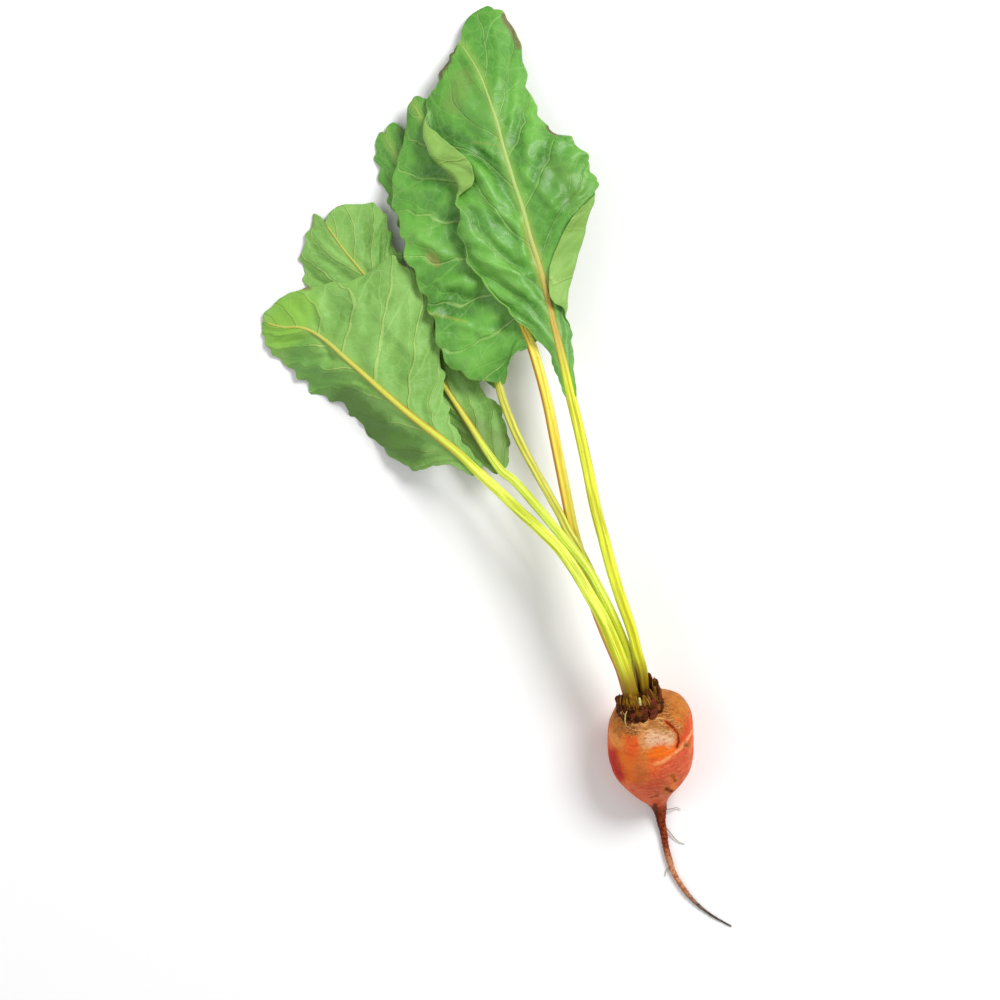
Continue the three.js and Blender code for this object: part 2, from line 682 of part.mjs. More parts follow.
// One half of a blade: rows of points from the midrib out to the margin.
function halfBlade(leaf, side) {
  const strand = strandOf(leaf);
  const neck = leaf.stalk.length;
  const ribSteps = leaf.stations.length - 1;
  const margins = leaf.stations.map((s) => s[side]);
  const folds = side === 1 ? leaf.leftFold : leaf.rightFold;
  return Array.from({ length: leaf.rows + 1 }, (_, row) => {
    const t = row / leaf.rows;
    const place = neck + t * ribSteps;
    const rib = new THREE.Vector3(...curveAt(strand, place));
    const end = Math.min(place + TANGENT_STEP, neck + ribSteps);
    const ahead = new THREE.Vector3(...curveAt(strand, end));
    const behind = new THREE.Vector3(...curveAt(strand, place - TANGENT_STEP));
    const [right] = sectionFrame(ahead.sub(behind).normalize());
    const out = new THREE.Vector3(...curveAt(margins, t * ribSteps)).sub(rib);
    const length = out.length();
    out.normalize();
    const towardsTip = side === 2 ? 1 : -1;
    const beyondTip = new THREE.Vector3(-out.y, out.x, 0).multiplyScalar(towardsTip);
    const tipShare = Math.max(0, (t - TIP_START) / (1 - TIP_START));
    const squareness = Math.max(Math.abs(out.dot(right)), LEAST_SQUARENESS);
    const joined = t >= BLADE_JOIN;
    const inner = joined ? 0 : (strandSize(leaf, place)[0] + BLADE_GAP) / squareness;
    const fold = folds ? Math.max(valueAt(folds, t), 0) : null;
    const toothShare = 1 - TOOTH_LOST_ON_FOLD * foldShare(fold);
    const tooth = TOOTH_DEPTH * Math.sin(2 * Math.PI * leaf.teeth * t) * Math.sin(Math.PI * t);
    const reach = Math.max(length + tooth * toothShare, inner + NARROWEST_STRIP);
    const [distances, flat, radius] = columnDistances(reach, inner, fold);
    const calm = Math.min(1, reach / CALM_WIDTH) * Math.sin(Math.PI * Math.min(t * CALM_RISE, 1));
    return distances.map((distance) => {
      const share = Math.min(distance / reach, 1);
      const phase = SIDE_VEINS * (t - VEIN_LEAN * share) + VEIN_OFFSET * (side - 1);
      const quilt = QUILT_DEPTH * Math.cos(2 * Math.PI * phase) * Math.sin(Math.PI * share);
      const wave = leaf.ruffle * share * share * Math.sin(2 * Math.PI * RUFFLE_WAVES * t + side);
      const rounding = leaf.tipBulge[side - 1] * Math.sin(Math.PI * share) * tipShare ** 2;
      const lift = (leaf.arch * Math.sin(Math.PI * share) - quilt + wave) * calm;
      const angle = THREE.MathUtils.clamp((distance - flat) / Math.max(radius, 0.01), 0, Math.PI);
      const beyond = Math.max(distance - flat - Math.PI * radius, 0);
      const rolled = radius > 0 && distance > flat;
      const lateral = rolled ? flat + radius * Math.sin(angle) - beyond : distance;
      const rise = rolled ? radius * (1 - Math.cos(angle)) : 0;
      const point = rib.clone().addScaledVector(out, lateral).addScaledVector(beyondTip, rounding);
      point.z = Math.max(point.z + lift + rise, BLADE_THICK / 2);
      return point;
    });
  });
}

// A blade: two halves beside the midrib, joined beyond its end, given an even thickness.
function bladeGeometry(leaf) {
  const left = halfBlade(leaf, 1);
  const right = halfBlade(leaf, 2);
  const joinRow = Math.ceil(BLADE_JOIN * leaf.rows);
  const points = [];
  const number = (half) => half.map((row) => row.map((p) => points.push(p) - 1));
  const leftNumbers = number(left);
  const rightNumbers = number(right);
  for (let row = joinRow; row <= leaf.rows; row++) {
    rightNumbers[row][0] = leftNumbers[row][0];
  }
  const upper = [];
  const patch = (numbers, turned) => {
    for (let row = 0; row < leaf.rows; row++) {
      for (let k = 0; k + 1 < numbers[row].length; k++) {
        const [a, b] = [numbers[row][k], numbers[row][k + 1]];
        const [c, d] = [numbers[row + 1][k], numbers[row + 1][k + 1]];
        const pair = [[a, b, d], [a, d, c]];
        upper.push(...(turned ? pair.map(([i, j, l]) => [i, l, j]) : pair));
      }
    }
  };
  patch(leftNumbers, true);
  patch(rightNumbers, false);
  return thicken(points, upper);
}

// A closed sheet: the surface moved half the thickness to each side, and walls along its open edges.
function thicken(points, triangles) {
  const normals = points.map(() => new THREE.Vector3());
  for (const [i, j, k] of triangles) {
    const one = new THREE.Vector3().subVectors(points[j], points[i]);
    const two = new THREE.Vector3().subVectors(points[k], points[i]);
    const face = one.cross(two);
    for (const v of [i, j, k]) normals[v].add(face);
  }
  for (const normal of normals) normal.normalize();
  const moved = (shift) => points.map((p, i) => p.clone().addScaledVector(normals[i], shift));
  const count = points.length;
  const both = [...moved(BLADE_THICK / 2), ...moved(-BLADE_THICK / 2)];
  const faces = [...triangles, ...triangles.map(([i, j, k]) => [i + count, k + count, j + count])];
  const edges = new Map();
  for (const [i, j, k] of triangles) {
    for (const [a, b] of [[i, j], [j, k], [k, i]]) {
      if (!edges.delete(b + "," + a)) edges.set(a + "," + b, [a, b]);
    }
  }
  for (const [a, b] of edges.values()) {
    faces.push([b, a, a + count], [b, a + count, b + count]);
  }
  return shell(both, faces);
}

function shootGeometry(margin = 0) {
  const places = SHOOT.map((p) => new THREE.Vector3(...p));
  return tube(places, SHOOT_RADII.map((r) => r + margin), SHOOT_SIDES);
}

function finish(colour, roughness) {
  return new THREE.MeshStandardMaterial({ color: colour, roughness, metalness: 0 });
}

const skin = finish(0xd9592f, 0.45);
const dryCollar = finish(0x5a3322, 0.85);
const sprout = finish(0xd9cf6a, 0.5);
const stalkColours = [0xc9d32a, 0xd9a723, 0xc6cf2e, 0xcdd838, 0xc8c832];
const bladeColours = [0x4f9a35, 0x55a03a, 0x6fae58, 0x74b35c, 0x5fa544];

const beetroot = new THREE.Group();
function add(name, geometry, material) {
  const mesh = new THREE.Mesh(geometry, material);
  mesh.name = name;
  beetroot.add(mesh);
}

add("root", rootGeometry(), skin);
add("crown", crownGeometry(LEAVES), dryCollar);
add("young_shoot", shootGeometry(), sprout);
LEAVES.forEach((leaf, i) => {
  add(leaf.name + "_stalk", stalkGeometry(leaf), finish(stalkColours[i], 0.5));
  add(leaf.name + "_blade", bladeGeometry(leaf), finish(bladeColours[i], 0.55));
});

export default beetroot;
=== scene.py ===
import math

import bmesh
import bpy
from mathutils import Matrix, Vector, noise


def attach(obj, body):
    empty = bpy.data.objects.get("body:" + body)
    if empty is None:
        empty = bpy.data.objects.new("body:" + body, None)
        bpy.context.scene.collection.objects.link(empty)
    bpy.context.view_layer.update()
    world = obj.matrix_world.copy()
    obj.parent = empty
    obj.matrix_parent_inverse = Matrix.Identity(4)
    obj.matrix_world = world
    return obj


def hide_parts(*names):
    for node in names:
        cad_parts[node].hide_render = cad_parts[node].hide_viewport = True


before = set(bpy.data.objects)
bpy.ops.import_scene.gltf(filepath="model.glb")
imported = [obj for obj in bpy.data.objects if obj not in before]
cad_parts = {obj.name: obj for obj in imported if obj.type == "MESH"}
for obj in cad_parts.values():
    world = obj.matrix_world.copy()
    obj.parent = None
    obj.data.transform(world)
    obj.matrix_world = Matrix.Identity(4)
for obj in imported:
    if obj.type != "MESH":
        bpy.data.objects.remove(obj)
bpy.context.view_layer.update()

# Root: the swollen golden-red bulb of a beet, its thin tail and a few hair roots, all one grown body.
# The skin is thin and moist over orange flesh, corky and tan round the crown, with old cracks, healed
# scars and fine rings, and it turns dull brown along the tail.
MM = 0.001
UP = Vector((0, 0, 1))
BULB_LEAN = math.radians(14.3)
BULB_TILT = math.radians(28)
CROWN_TOP = Vector((-7.5, 30.2, 39))
# Rings of the bulb: how far below the crown, radius, and shift across.
BULB_RINGS = [
    [0, 10, 1.2], [2, 17.2, 5.4], [5, 20.8, 6.6], [10, 23.2, 6], [17, 24.7, 5], [25, 25, 3.6],
    [33, 24.8, 2.6], [41, 23.6, 2], [49, 20.6, 1.7], [56, 15.8, 0.6], [62, 10.5, -0.7],
    [68, 6, -1], [74, 4, -0.5],
]
BULB_UNEVEN = 0.012
# Waves round the bulb: strength, count, start, and turn from ring to ring.
BULB_WAVES = [[1, 2, 0.8, 0], [0.7, 3, 0, 0.4]]
BULB_LOWER = 0.92
# Points of the tail: x, y and radius.
TAIL = [
    [9, -41, 2.5], [10.5, -48, 2.05], [11.5, -54.5, 1.9], [13.5, -62.5, 1.85], [16.5, -71, 1.65],
    [22.5, -80.5, 1.45], [29, -88, 1.05], [38.5, -95.5, 0.7], [50, -102, 0.4],
]
TAIL_LIFT = 0.2
HAIR_ROOTS = [
    [[11, -43, 2.2], [16, -49.5, 1.4], [19, -52.5, 1], [23, -54, 0.6]],
    [[9, -34, 4], [15, -33, 3], [18, -32.5, 1.6], [20.5, -34, 0.7]],
    [[14.5, -66, 2], [12, -69, 1.4], [11, -73, 0.7]],
]
HAIR_SIZES = [[0.42, 0.42], [0.3, 0.3], [0.16, 0.16]]
HAIR_MARK = 2
ROOT_AROUND = 112
ROOT_ALONG = 330
BULB_SHARE = 0.55
# Height, size and seed of the lumps on the bulb and of the knots on the tail, and the tail's rings.
LUMPS = [[0.35, 9, 0], [0.16, 3.2, 4]]
LUMPY_RADIUS = 8
KNOT_HEIGHT, KNOT_SIZE, KNOT_SEED = 0.22, 1.7, 9
TAIL_RING_HEIGHT = 0.12
TAIL_RING_TURN = 2.6
# Lines on the skin seen from above, each a row of x and y. How far a point of the skin is from such a
# line tells where a mark begins: cork, lighter and redder patches, a painted highlight, a crack, a
# ridge, scars and stains.
SKIN_MARKS = {
    "cork": [(-8, 19.5), (0, 18.5), (8, 17.5), (13.5, 15.5)],
    "cork_low": [(-3, 14), (-2, 8)],
    # pale: a whitish painted highlight on top of the bulb.
    "pale": [(1.5, 11), (6, 11.5), (11, 10)],
    "bright": [(1.5, 3.5), (7, 3), (12.5, 6)],
    "gold": [(-20, 13), (-16, 9)],
    "amber": [(-19, 3), (-13, -2), (-12, -12)],
    "blaze": [(-10.5, 8.5), (-9, 3.5)],
    # crimson: the skin's deep red along the left edge, darkened there as painted shade.
    "crimson": [(-21.5, 1), (-19.8, -6), (-16, -12)],
    "olive": [(-6, 0), (-5, -6), (-3.5, -12)],
    "gap": [(-4, 5), (-4, -1)],
    "rosy": [(20, 0), (14, -8), (4, -18)],
    "crack": [(9.6, 20.6), (14, 16.8), (16.8, 13.3), (17.1, 8.7), (16.2, 5.5)],
    "ridge": [(25.5, 13.9), (22.6, 10.4), (19.1, 5.5), (13.9, 1.2), (8.1, -2.9), (3.6, -4)],
    "eye": [(21.5, 6.3), (22.6, 5.8)],
    "scar": [(13.2, -11.6), (15.2, -13.9)],
    "scar_low": [(10.5, -19.2), (12.4, -20.6), (14.2, -21.2)],
    "ember": [(14.4, -18), (16.2, -19.3)],
    "crescent": [(1.7, -24.5), (3.9, -24), (5.9, -22.9)],
    "tail_shade": [(4.6, -30.2), (6.2, -39.4), (8.4, -49.9)],
    "stain_left": [(-15.5, 25), (-12, 19), (-9.5, 16.5)],
    "stain_right": [(6, 33), (9, 26), (10, 21)],
}
# How high a marked line stands out, or how deep it lies, and how far that reaches to its sides.
SKIN_RELIEF = {"crack": -0.55, "ridge": 0.35, "eye": -0.5, "scar": -0.5, "scar_low": -0.6}
SKIN_RELIEF_REACH = 1.1
UNMARKED = 99.0

bulb_axis = Vector((
    -math.sin(BULB_LEAN) * math.cos(BULB_TILT),
    math.cos(BULB_LEAN) * math.cos(BULB_TILT),
    math.sin(BULB_TILT),
))
bulb_across = Vector((math.cos(BULB_LEAN), math.sin(BULB_LEAN), 0))
bulb_upper = bulb_across.cross(bulb_axis)


class Field:
    """A shader socket that takes part in sums, each step being a Math node."""

    def __init__(self, tree, socket):
        self.tree = tree
        self.socket = socket

    def node(self, kind, inputs, output=0, **settings):
        """Another node in the same tree, fed by fields or constants."""
        made = self.tree.nodes.new(kind)
        for name, value in settings.items():
            setattr(made, name, value)
        for key, value in inputs.items():
            if isinstance(value, Field):
                self.tree.links.new(value.socket, made.inputs[key])
            else:
                made.inputs[key].default_value = value
        return Field(self.tree, made.outputs[output])

    def math(self, operation, *others):
        return self.node("ShaderNodeMath", dict(enumerate((self, *others))), operation=operation)

    def __add__(self, other):
        return self.math("ADD", other)

    def __sub__(self, other):
        return self.math("SUBTRACT", other)

    def __rsub__(self, other):
        return self.math("MULTIPLY_ADD", -1, other)

    def __mul__(self, other):
        return self.math("MULTIPLY", other)

    __radd__ = __add__
    __rmul__ = __mul__

    def step(self, start, end):
        """0 up to start and 1 from end on, smooth between; start may be above end."""
        inputs = {"From Min": start, "From Max": end, "Value": self}
        return self.node("ShaderNodeMapRange", inputs, interpolation_type="SMOOTHSTEP")

    def paint(self, under, over):
        """The colour over laid on under as far as this field says."""
        return self.node("ShaderNodeMix", {0: self, 6: under, 7: over}, output=2, data_type="RGBA")


def colour(red, green, blue):
    """A colour given as sRGB from 0 to 255, as linear values."""
    return tuple(((v / 255 + 0.055) / 1.055) ** 2.4 for v in (red, green, blue)) + (1,)


def layered(under, *layers):
    """Lays colours on one another; each layer is a field of how much it covers, and its colour."""
    for cover, *shade in layers:
        under = cover.paint(under, colour(*shade))
    return under


def new_material(name):
    """A material's Principled node and a field of the object coordinates in millimetres."""
    material = bpy.data.materials.new(name)
    material.use_nodes = True
    tree = material.node_tree
    place = Field(tree, tree.nodes.new("ShaderNodeTexCoord").outputs["Object"])
    place = place.node("ShaderNodeVectorMath", {0: place, "Scale": 1 / MM}, operation="SCALE")
    return material, tree.nodes["Principled BSDF"], place


def attribute(place, name):
    return place.node("ShaderNodeAttribute", {}, output="Fac", attribute_name=name)


def grain(place, size, detail=3.0, roughness=0.5):
    """Noise from about 0 to 1 with grains of that size in millimetres."""
    inputs = {"Vector": place, "Scale": 1 / size, "Detail": detail, "Roughness": roughness}
    return place.node("ShaderNodeTexNoise", inputs)


def relief(place, heights):
    """A normal from fields of height, each with its greatest height in millimetres."""
    total, *others = (field * tall for field, tall in heights)
    for other in others:
        total = total + other
    return place.node("ShaderNodeBump", {"Distance": MM, "Strength": 1.0, "Height": total})


def connect(principled, **fields):
    """Feeds a Principled node's sockets with fields or constants; _ in a name stands for a space."""
    for name, value in fields.items():
        socket = principled.inputs[name.replace("_", " ")]
        if isinstance(value, Field):
            value.tree.links.new(value.socket, socket)
        else:
            socket.default_value = value


def curve_at(rows, place):
    """Smooth curve through rows of numbers, at a place counted in rows."""
    first = min(max(math.floor(place), 0), len(rows) - 2)
    f = place - first
    b, c = rows[first], rows[first + 1]
    a = rows[first - 1] if first > 0 else [2 * v - w for v, w in zip(b, c)]
    d = rows[first + 2] if first + 2 < len(rows) else [2 * v - w for v, w in zip(c, b)]
    return [
        q + 0.5 * f * (r - p + f * (2 * p - 5 * q + 4 * r - s + f * (3 * q - p - 3 * r + s)))
        for p, q, r, s in zip(a, b, c, d)
    ]


def value_at(values, t):
    """One number along a list of numbers spread evenly from 0 to 1."""
    return curve_at([[v] for v in values], t * (len(values) - 1))[0]


STEP = 0.05


def heading(points, place):
    """The way a curve through points runs at a place counted in points."""
    ahead = Vector(curve_at(points, min(place + STEP, len(points) - 1)))
    return ahead - Vector(curve_at(points, max(place - STEP, 0)))


def rough(point, size, seed=0.0):
    """Smooth noise from -1 to 1 in space, with waves of that size in millimetres."""
    return noise.noise(point / size + Vector((seed, 2 * seed, -seed)))


def add_grid(bm, columns, rows, place_at):
    """Adds a grid to bm whose corner at u, v (0 to 1) goes to place_at(u, v): a point in millimetres
    and a dict of numbers that are kept on the corner as attributes."""
    layers = bm.verts.layers.float
    for name in place_at(0, 0)[1]:
        if name not in layers:
            layers.new(name)
    made = bmesh.ops.create_grid(bm, x_segments=columns, y_segments=rows, size=1)
    for vertex in made["verts"]:
        point, numbers = place_at((vertex.co.x + 1) / 2, (vertex.co.y + 1) / 2)
        vertex.co = Vector(point) * MM
        for name, number in numbers.items():
            vertex[layers[name]] = number


def add_tube(bm, points, sizes, sides, rows, facing=UP, numbers=None):
    """Adds a closed strand along a curve through points, with half widths and half heights in sizes."""
    last = len(points) - 1
    sections = []
    for row in range(rows + 1):
        place = row / rows * last
        forward = heading(points, place)
        right = forward.cross(Vector(facing)).normalized()
        upper = right.cross(forward).normalized()
        round_end = math.sin(math.pi / 2 * min(1, row / 2, (rows - row) / 2))
        wide, tall = curve_at(sizes, row / rows * (len(sizes) - 1))
        middle = Vector(curve_at(points, place))
        sections.append((middle, right * wide * round_end, upper * tall * round_end))

    def place_at(u, v):
        middle, right, upper = sections[round(v * rows)]
        angle = 2 * math.pi * u
        return middle + right * math.cos(angle) + upper * math.sin(angle), numbers or {}

    add_grid(bm, sides, rows, place_at)


MERGED = 0.002


def finish_piece(name, bm, materials, nodes, wall=0.0):
    """Makes bm into a piece that rides the body and stands for CAD nodes; a sheet is wall thick."""
    bmesh.ops.remove_doubles(bm, verts=bm.verts, dist=MERGED * MM)
    bmesh.ops.recalc_face_normals(bm, faces=bm.faces)
    if wall and sum(face.normal.z * face.calc_area() for face in bm.faces) < 0:
        bmesh.ops.reverse_faces(bm, faces=bm.faces)
    for face in bm.faces:
        face.smooth = True
    mesh = bpy.data.meshes.new(name)
    bm.to_mesh(mesh)
    bm.free()
    piece = bpy.data.objects.new(name, mesh)
    bpy.context.scene.collection.objects.link(piece)
    for material in materials:
        mesh.materials.append(material)
    if wall:
        solid = piece.modifiers.new("wall", "SOLIDIFY")
        solid.thickness = wall * MM
        solid.offset = 0
        solid.material_offset = len(materials) - 1
    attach(piece, "root")
    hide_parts(*nodes)


def at_crown(across, upper, height):
    """A point by its place across, up and along the bulb's axis, counted from the crown."""
    return CROWN_TOP + bulb_across * across + bulb_upper * upper + bulb_axis * height


def distance_to(path, x, y):
    """Distance in plan from a point to a line through points."""
    best = math.inf
    for (ax, ay), (bx, by) in zip(path, path[1:]):
        dx, dy = bx - ax, by - ay
        share = max(0, min(1, ((x - ax) * dx + (y - ay) * dy) / (dx * dx + dy * dy)))
        best = min(best, math.hypot(x - ax - share * dx, y - ay - share * dy))
    return best


# Each section of the root: middle, the two directions of its plane, radius, flattening of its lower
# half and how far it is on the tail.
root_sections = []
for below, radius, shift in BULB_RINGS:
    middle = at_crown(shift, 0, -below)
    root_sections.append([*middle, *bulb_across, *bulb_upper, radius, BULB_LOWER, 0])
for i, (x, y, radius) in enumerate(TAIL):
    ahead = Vector(TAIL[min(i + 1, len(TAIL) - 1)][:2]) - Vector(TAIL[max(i - 1, 0)][:2])
    right = Vector((-ahead.y, ahead.x, 0)).normalized()
    root_sections.append([x, y, radius + TAIL_LIFT, *right, *UP, radius, 1, (i + 1) / len(TAIL)])
# The tail's right hand is the bulb's right hand.
for row in root_sections[len(BULB_RINGS):]:
    if Vector(row[3:6]).dot(bulb_across) < 0:
        row[3:6] = [-v for v in row[3:6]]


def root_at(u, v):
    row = v * ROOT_ALONG
    bulb_rows = ROOT_ALONG * BULB_SHARE
    bulb_last = len(BULB_RINGS) - 1
    if row < bulb_rows:
        place = row / bulb_rows * bulb_last
    else:
        place = bulb_last + (row - bulb_rows) / (ROOT_ALONG - bulb_rows) * len(TAIL)
    numbers = curve_at(root_sections, place)
    middle, right, upper = (Vector(numbers[k:k + 3]) for k in (0, 3, 6))
    radius, lower, tail = numbers[9:]
    angle = 2 * math.pi * u
    uneven = sum(
        strength * math.sin(count * angle + start + turn * place)
        for strength, count, start, turn in BULB_WAVES
    )
    reach = radius * (1 + BULB_UNEVEN * uneven * (tail <= 0))
    rise = reach * math.sin(angle)
    if rise < 0:
        rise *= lower
    outward = right.normalized() * reach * math.cos(angle) + upper.normalized() * rise
    if row in (0, ROOT_ALONG):
        outward *= 0
    point = middle + outward
    lumps = sum(height * rough(point, size, seed) for height, size, seed in LUMPS)
    knots = KNOT_HEIGHT * rough(point, KNOT_SIZE, KNOT_SEED)
    knots += TAIL_RING_HEIGHT * math.sin(point.y * TAIL_RING_TURN + 2 * rough(point, 5, 2))
    ease = min(1, radius / LUMPY_RADIUS)
    point += outward.normalized() * (lumps * ease + knots * (1 - ease) * min(1, radius))
    on_top = rise > 0
    if on_top:
        for name, depth in SKIN_RELIEF.items():
            far = distance_to(SKIN_MARKS[name], point.x, point.y)
            point += outward.normalized() * depth * math.exp(-(far / SKIN_RELIEF_REACH) ** 2)
    point.z = max(point.z, 0)
    marks = {
        name: distance_to(path, point.x, point.y) if on_top else UNMARKED
        for name, path in SKIN_MARKS.items()
    }
    return point, {**marks, "tail": tail, "below": (CROWN_TOP - point).dot(bulb_axis)}


bm = bmesh.new()
add_grid(bm, ROOT_AROUND, ROOT_ALONG, root_at)
for hair in HAIR_ROOTS:
    far_off = {name: UNMARKED for name in SKIN_MARKS}
    add_tube(bm, hair, HAIR_SIZES, 8, 30, numbers={**far_off, "tail": HAIR_MARK})

skin, principled, place = new_material("beet_skin")
cloud = grain(place, 14, 4)
patch = grain(place, 5, 5, 0.62)
fleck = grain(place, 2, 5, 0.65)
fine = grain(place, 0.7, 4, 0.6)
stretched = place.node("ShaderNodeMapping", {"Vector": place, "Scale": (0.3, 1.7, 1)})
streak = grain(stretched, 4, 4, 0.6)
scratch = grain(stretched, 1.5, 4, 0.58)
below = attribute(place, "below")
tail = attribute(place, "tail")


def mark(name, start, end, wander):
    """Where the skin is nearer than start to end millimetres to a marked line; the edge wanders."""
    edge = (patch - 0.5) * wander + (fleck - 0.5) * wander * 0.5
    return (attribute(place, name) + edge).step(start, end)


shoulder = (below + (patch - 0.5) * 18).step(15, 7)
speckle = fleck.step(0.54, 0.64) * (below + (patch - 0.5) * 10).step(28, 8)
tone = layered(
    cloud.step(0.36, 0.64).paint(colour(210, 78, 30), colour(246, 122, 54)),
    (streak.step(0.45, 0.65) * 0.7, 216, 70, 32),
    ((below - cloud * 14).step(18, 40) * 0.7, 222, 92, 54),
    (patch.step(0.48, 0.62) * below.step(18, 42) * 0.85, 236, 132, 86),
    (patch.step(0.46, 0.34) * 0.6, 208, 66, 36),
    (mark("rosy", 8, 1, 9) * 0.7, 204, 78, 56),
    (streak.step(0.44, 0.34) * below.step(20, 34) * 0.55, 184, 98, 50),
    (scratch.step(0.54, 0.64) * below.step(20, 36) * 0.5, 226, 146, 98),
    (mark("olive", 6.5, 1, 9) * streak.step(0.3, 0.6) * 0.8, 188, 112, 44),
    (mark("amber", 8, 1, 10) * 0.85, 236, 118, 36),
    (mark("gold", 7, 1, 9) * 0.9, 232, 156, 72),
    # Crimson along the left edge: partly the skin's own deep red, partly painted shade.
    (mark("crimson", 6.5, 0.5, 6), 184, 18, 0),
    (shoulder, 190, 116, 44),
    (shoulder * patch.step(0.52, 0.38) * 0.55, 150, 92, 38),
    (mark("blaze", 8, 0, 15) * 0.75, 246, 96, 38),
    (mark("bright", 6, 1.5, 7), 244, 114, 24),
    (mark("gap", 5, 0.5, 7) * 0.9, 216, 120, 52),
    (mark("cork", 7.5, 3, 8), 184, 124, 64),
    (mark("cork_low", 5.5, 1, 9) * 0.9, 222, 158, 96),
    # Painted highlight: the whitish pale mark on top of the bulb.
    (mark("pale", 6.5, 1, 7), 228, 182, 144),
    (scratch.step(0.46, 0.62) * mark("cork", 8, 2.5, 8) * 0.7, 136, 84, 36),
    (scratch.step(0.5, 0.36) * mark("cork", 9, 3, 6) * 0.5, 226, 180, 118),
    (speckle * 0.75, 166, 72, 20),
)
for stain in ("stain_left", "stain_right"):
    tone = layered(
        tone,
        (mark(stain, 7, 1.5, 8) * scratch.step(0.36, 0.56) * 0.85, 106, 60, 24),
        (mark(stain, 7.5, 1.5, 8) * fine.step(0.52, 0.62) * 0.5, 214, 158, 88),
    )
tone = layered(
    tone,
    (mark("ridge", 1.7, 0.3, 2) * streak.step(0.34, 0.56) * 0.85, 248, 166, 106),
    (mark("crack", 2.6, 0.6, 2.4) * 0.65, 190, 84, 32),
    (mark("crack", 0.9, 0.3, 1.3), 118, 32, 8),
    (mark("eye", 2.6, 1, 2) * 0.8, 168, 104, 52),
    (mark("eye", 1.1, 0.4, 1.4), 118, 58, 22),
)
broken = mark("crack", 1.6, 0.5, 0.8)
for scar in ("scar", "scar_low"):
    tone = layered(
        tone,
        (mark(scar, 4.5, 1, 7) * 0.7, 206, 118, 56),
        (mark(scar, 2, 0.4, 6) * 0.8, 150, 72, 28),
        (mark(scar, 0.8, 0.1, 3), 116, 44, 14),
    )
    broken = broken.math("MAXIMUM", mark(scar, 2, 0.8, 2))
rings = (below * 2.0 + cloud * 9 + patch * 3).math("SINE")
tone = layered(
    tone,
    (mark("ember", 2.2, 0.6, 3), 246, 134, 44),
    (mark("crescent", 1.2, 0.3, 1) * 0.7, 142, 52, 24),
    (rings.step(0.6, 1) * patch.step(0.45, 0.6) * below.step(22, 40) * 0.5, 184, 56, 34),
    (fine.step(0.56, 0.7) * 0.3, 246, 156, 96),
    (fine.step(0.44, 0.32) * 0.35, 166, 48, 20),
)

# The tail is dark red-brown at its top, tan further down, and dry and grey at its end.
tailing = fleck.step(0.35, 0.6).paint(colour(88, 22, 4), colour(150, 60, 22))
tailing = (fine.step(0.54, 0.66) * 0.5).paint(tailing, colour(180, 92, 50))
aged = fleck.step(0.35, 0.6).paint(colour(176, 106, 68), colour(216, 154, 112))
tailing = tail.step(0.3, 0.5).paint(tailing, aged)
withered = fleck.step(0.4, 0.6).paint(colour(62, 54, 48), colour(128, 116, 106))
tailing = tail.step(0.62, 0.85).paint(tailing, withered)
tailing = (fine.step(0.5, 0.4) * 0.7).paint(tailing, colour(60, 28, 14))
tone = layered(
    (below + (fleck - 0.5) * 10).step(63, 75).paint(tone, tailing),
    (tail.step(1.2, 1.5), 178, 168, 152),
    (mark("tail_shade", 2.2, 0.6, 2) * 0.85, 84, 34, 14),
)
connect(
    principled,
    Base_Color=tone,
    Roughness=patch * 0.3 + 0.38 + broken * 0.3,
    Specular_IOR_Level=0.07,
    Coat_Weight=(1 - broken) * 0.02,
    Coat_Roughness=0.25,
    Normal=relief(place, [(rings, 0.06), (patch, 0.6), (fleck, 0.4), (fine, 0.22)]),
)
finish_piece("bulb_with_tail", bm, [skin], ["root"])

# Crown: the collar of old leaf bases that dried on top of the bulb. Dark brown and purple-brown papery
# scales and knobs lap over the shoulder, with ragged stubs of cut stalks at both sides and a few pale
# curled fibres.
CROWN_MIDDLE = (2.3, 1.2)
CROWN_FRONT = 0.22
# Rings of the collar, which bulges at the front: height and radius.
CROWN_RINGS = [[-5, 10.8], [0, 11.2], [2.5, 10.7], [4.5, 9.6], [6, 7.8], [6.6, 0.4]]
# Each row: angle in degrees round the crown, distance out, height, width, thickness, lean outwards.
CROWN_STUBS = [
    [-24, 9.8, 14, 4.6, 3, 0.05],
    [-6, 11, 10.5, 3.2, 2.4, 0.2],
    [4, 10.4, 13, 3.6, 2.6, 0.1],
    [22, 11.2, 9.5, 3.4, 2.4, 0.15],
    [36, 10.4, 11.5, 3.6, 2.6, 0.1],
    [52, 11, 8, 3.8, 2.4, 0.1],
    [150, 10.8, 6.5, 4.2, 2.4, 0.05],
    [165, 10.8, 7, 4.6, 2.4, 0.02],
    [178, 10.2, 6, 5.6, 2.2, 0],
    [188, 9.6, 5.2, 3.4, 2, 0.1],
]
# Husks are old leaf bases in front of the stalks, by angle, distance out, height, width and freshness.
CROWN_HUSKS = [
    [44, 11.4, 10, 3.8, 0.3], [58, 11.2, 12, 4.6, 0.3], [71, 11.4, 8.5, 4.2, 0.5],
    [105, 11.4, 10.5, 4.6, 0.5], [114, 11.2, 12.5, 4.8, 0.62], [127, 11.4, 11, 4.8, 0.4],
    [139, 11.6, 10, 4.4, 0.25], [151, 11.6, 8.5, 4, 0.1], [64, 12.2, 7, 4, 0.2],
    [109, 12.3, 5.5, 4, 0.3], [121, 12.3, 5.6, 4.2, 0.2], [134, 12.3, 6, 4, 0.1],
]
# Husks and stubs go through points at these shares of their height, where a husk leans so far out.
CROWN_SHARES = (0, 0.35, 0.7, 1)
HUSK_LEAN = (-0.6, -0.1, -1.1, -3)
HUSK_START = 4.5
HUSK_TALL = 0.75
HUSK_SPLINTERS = 3
STUB_SPLINTERS = 6
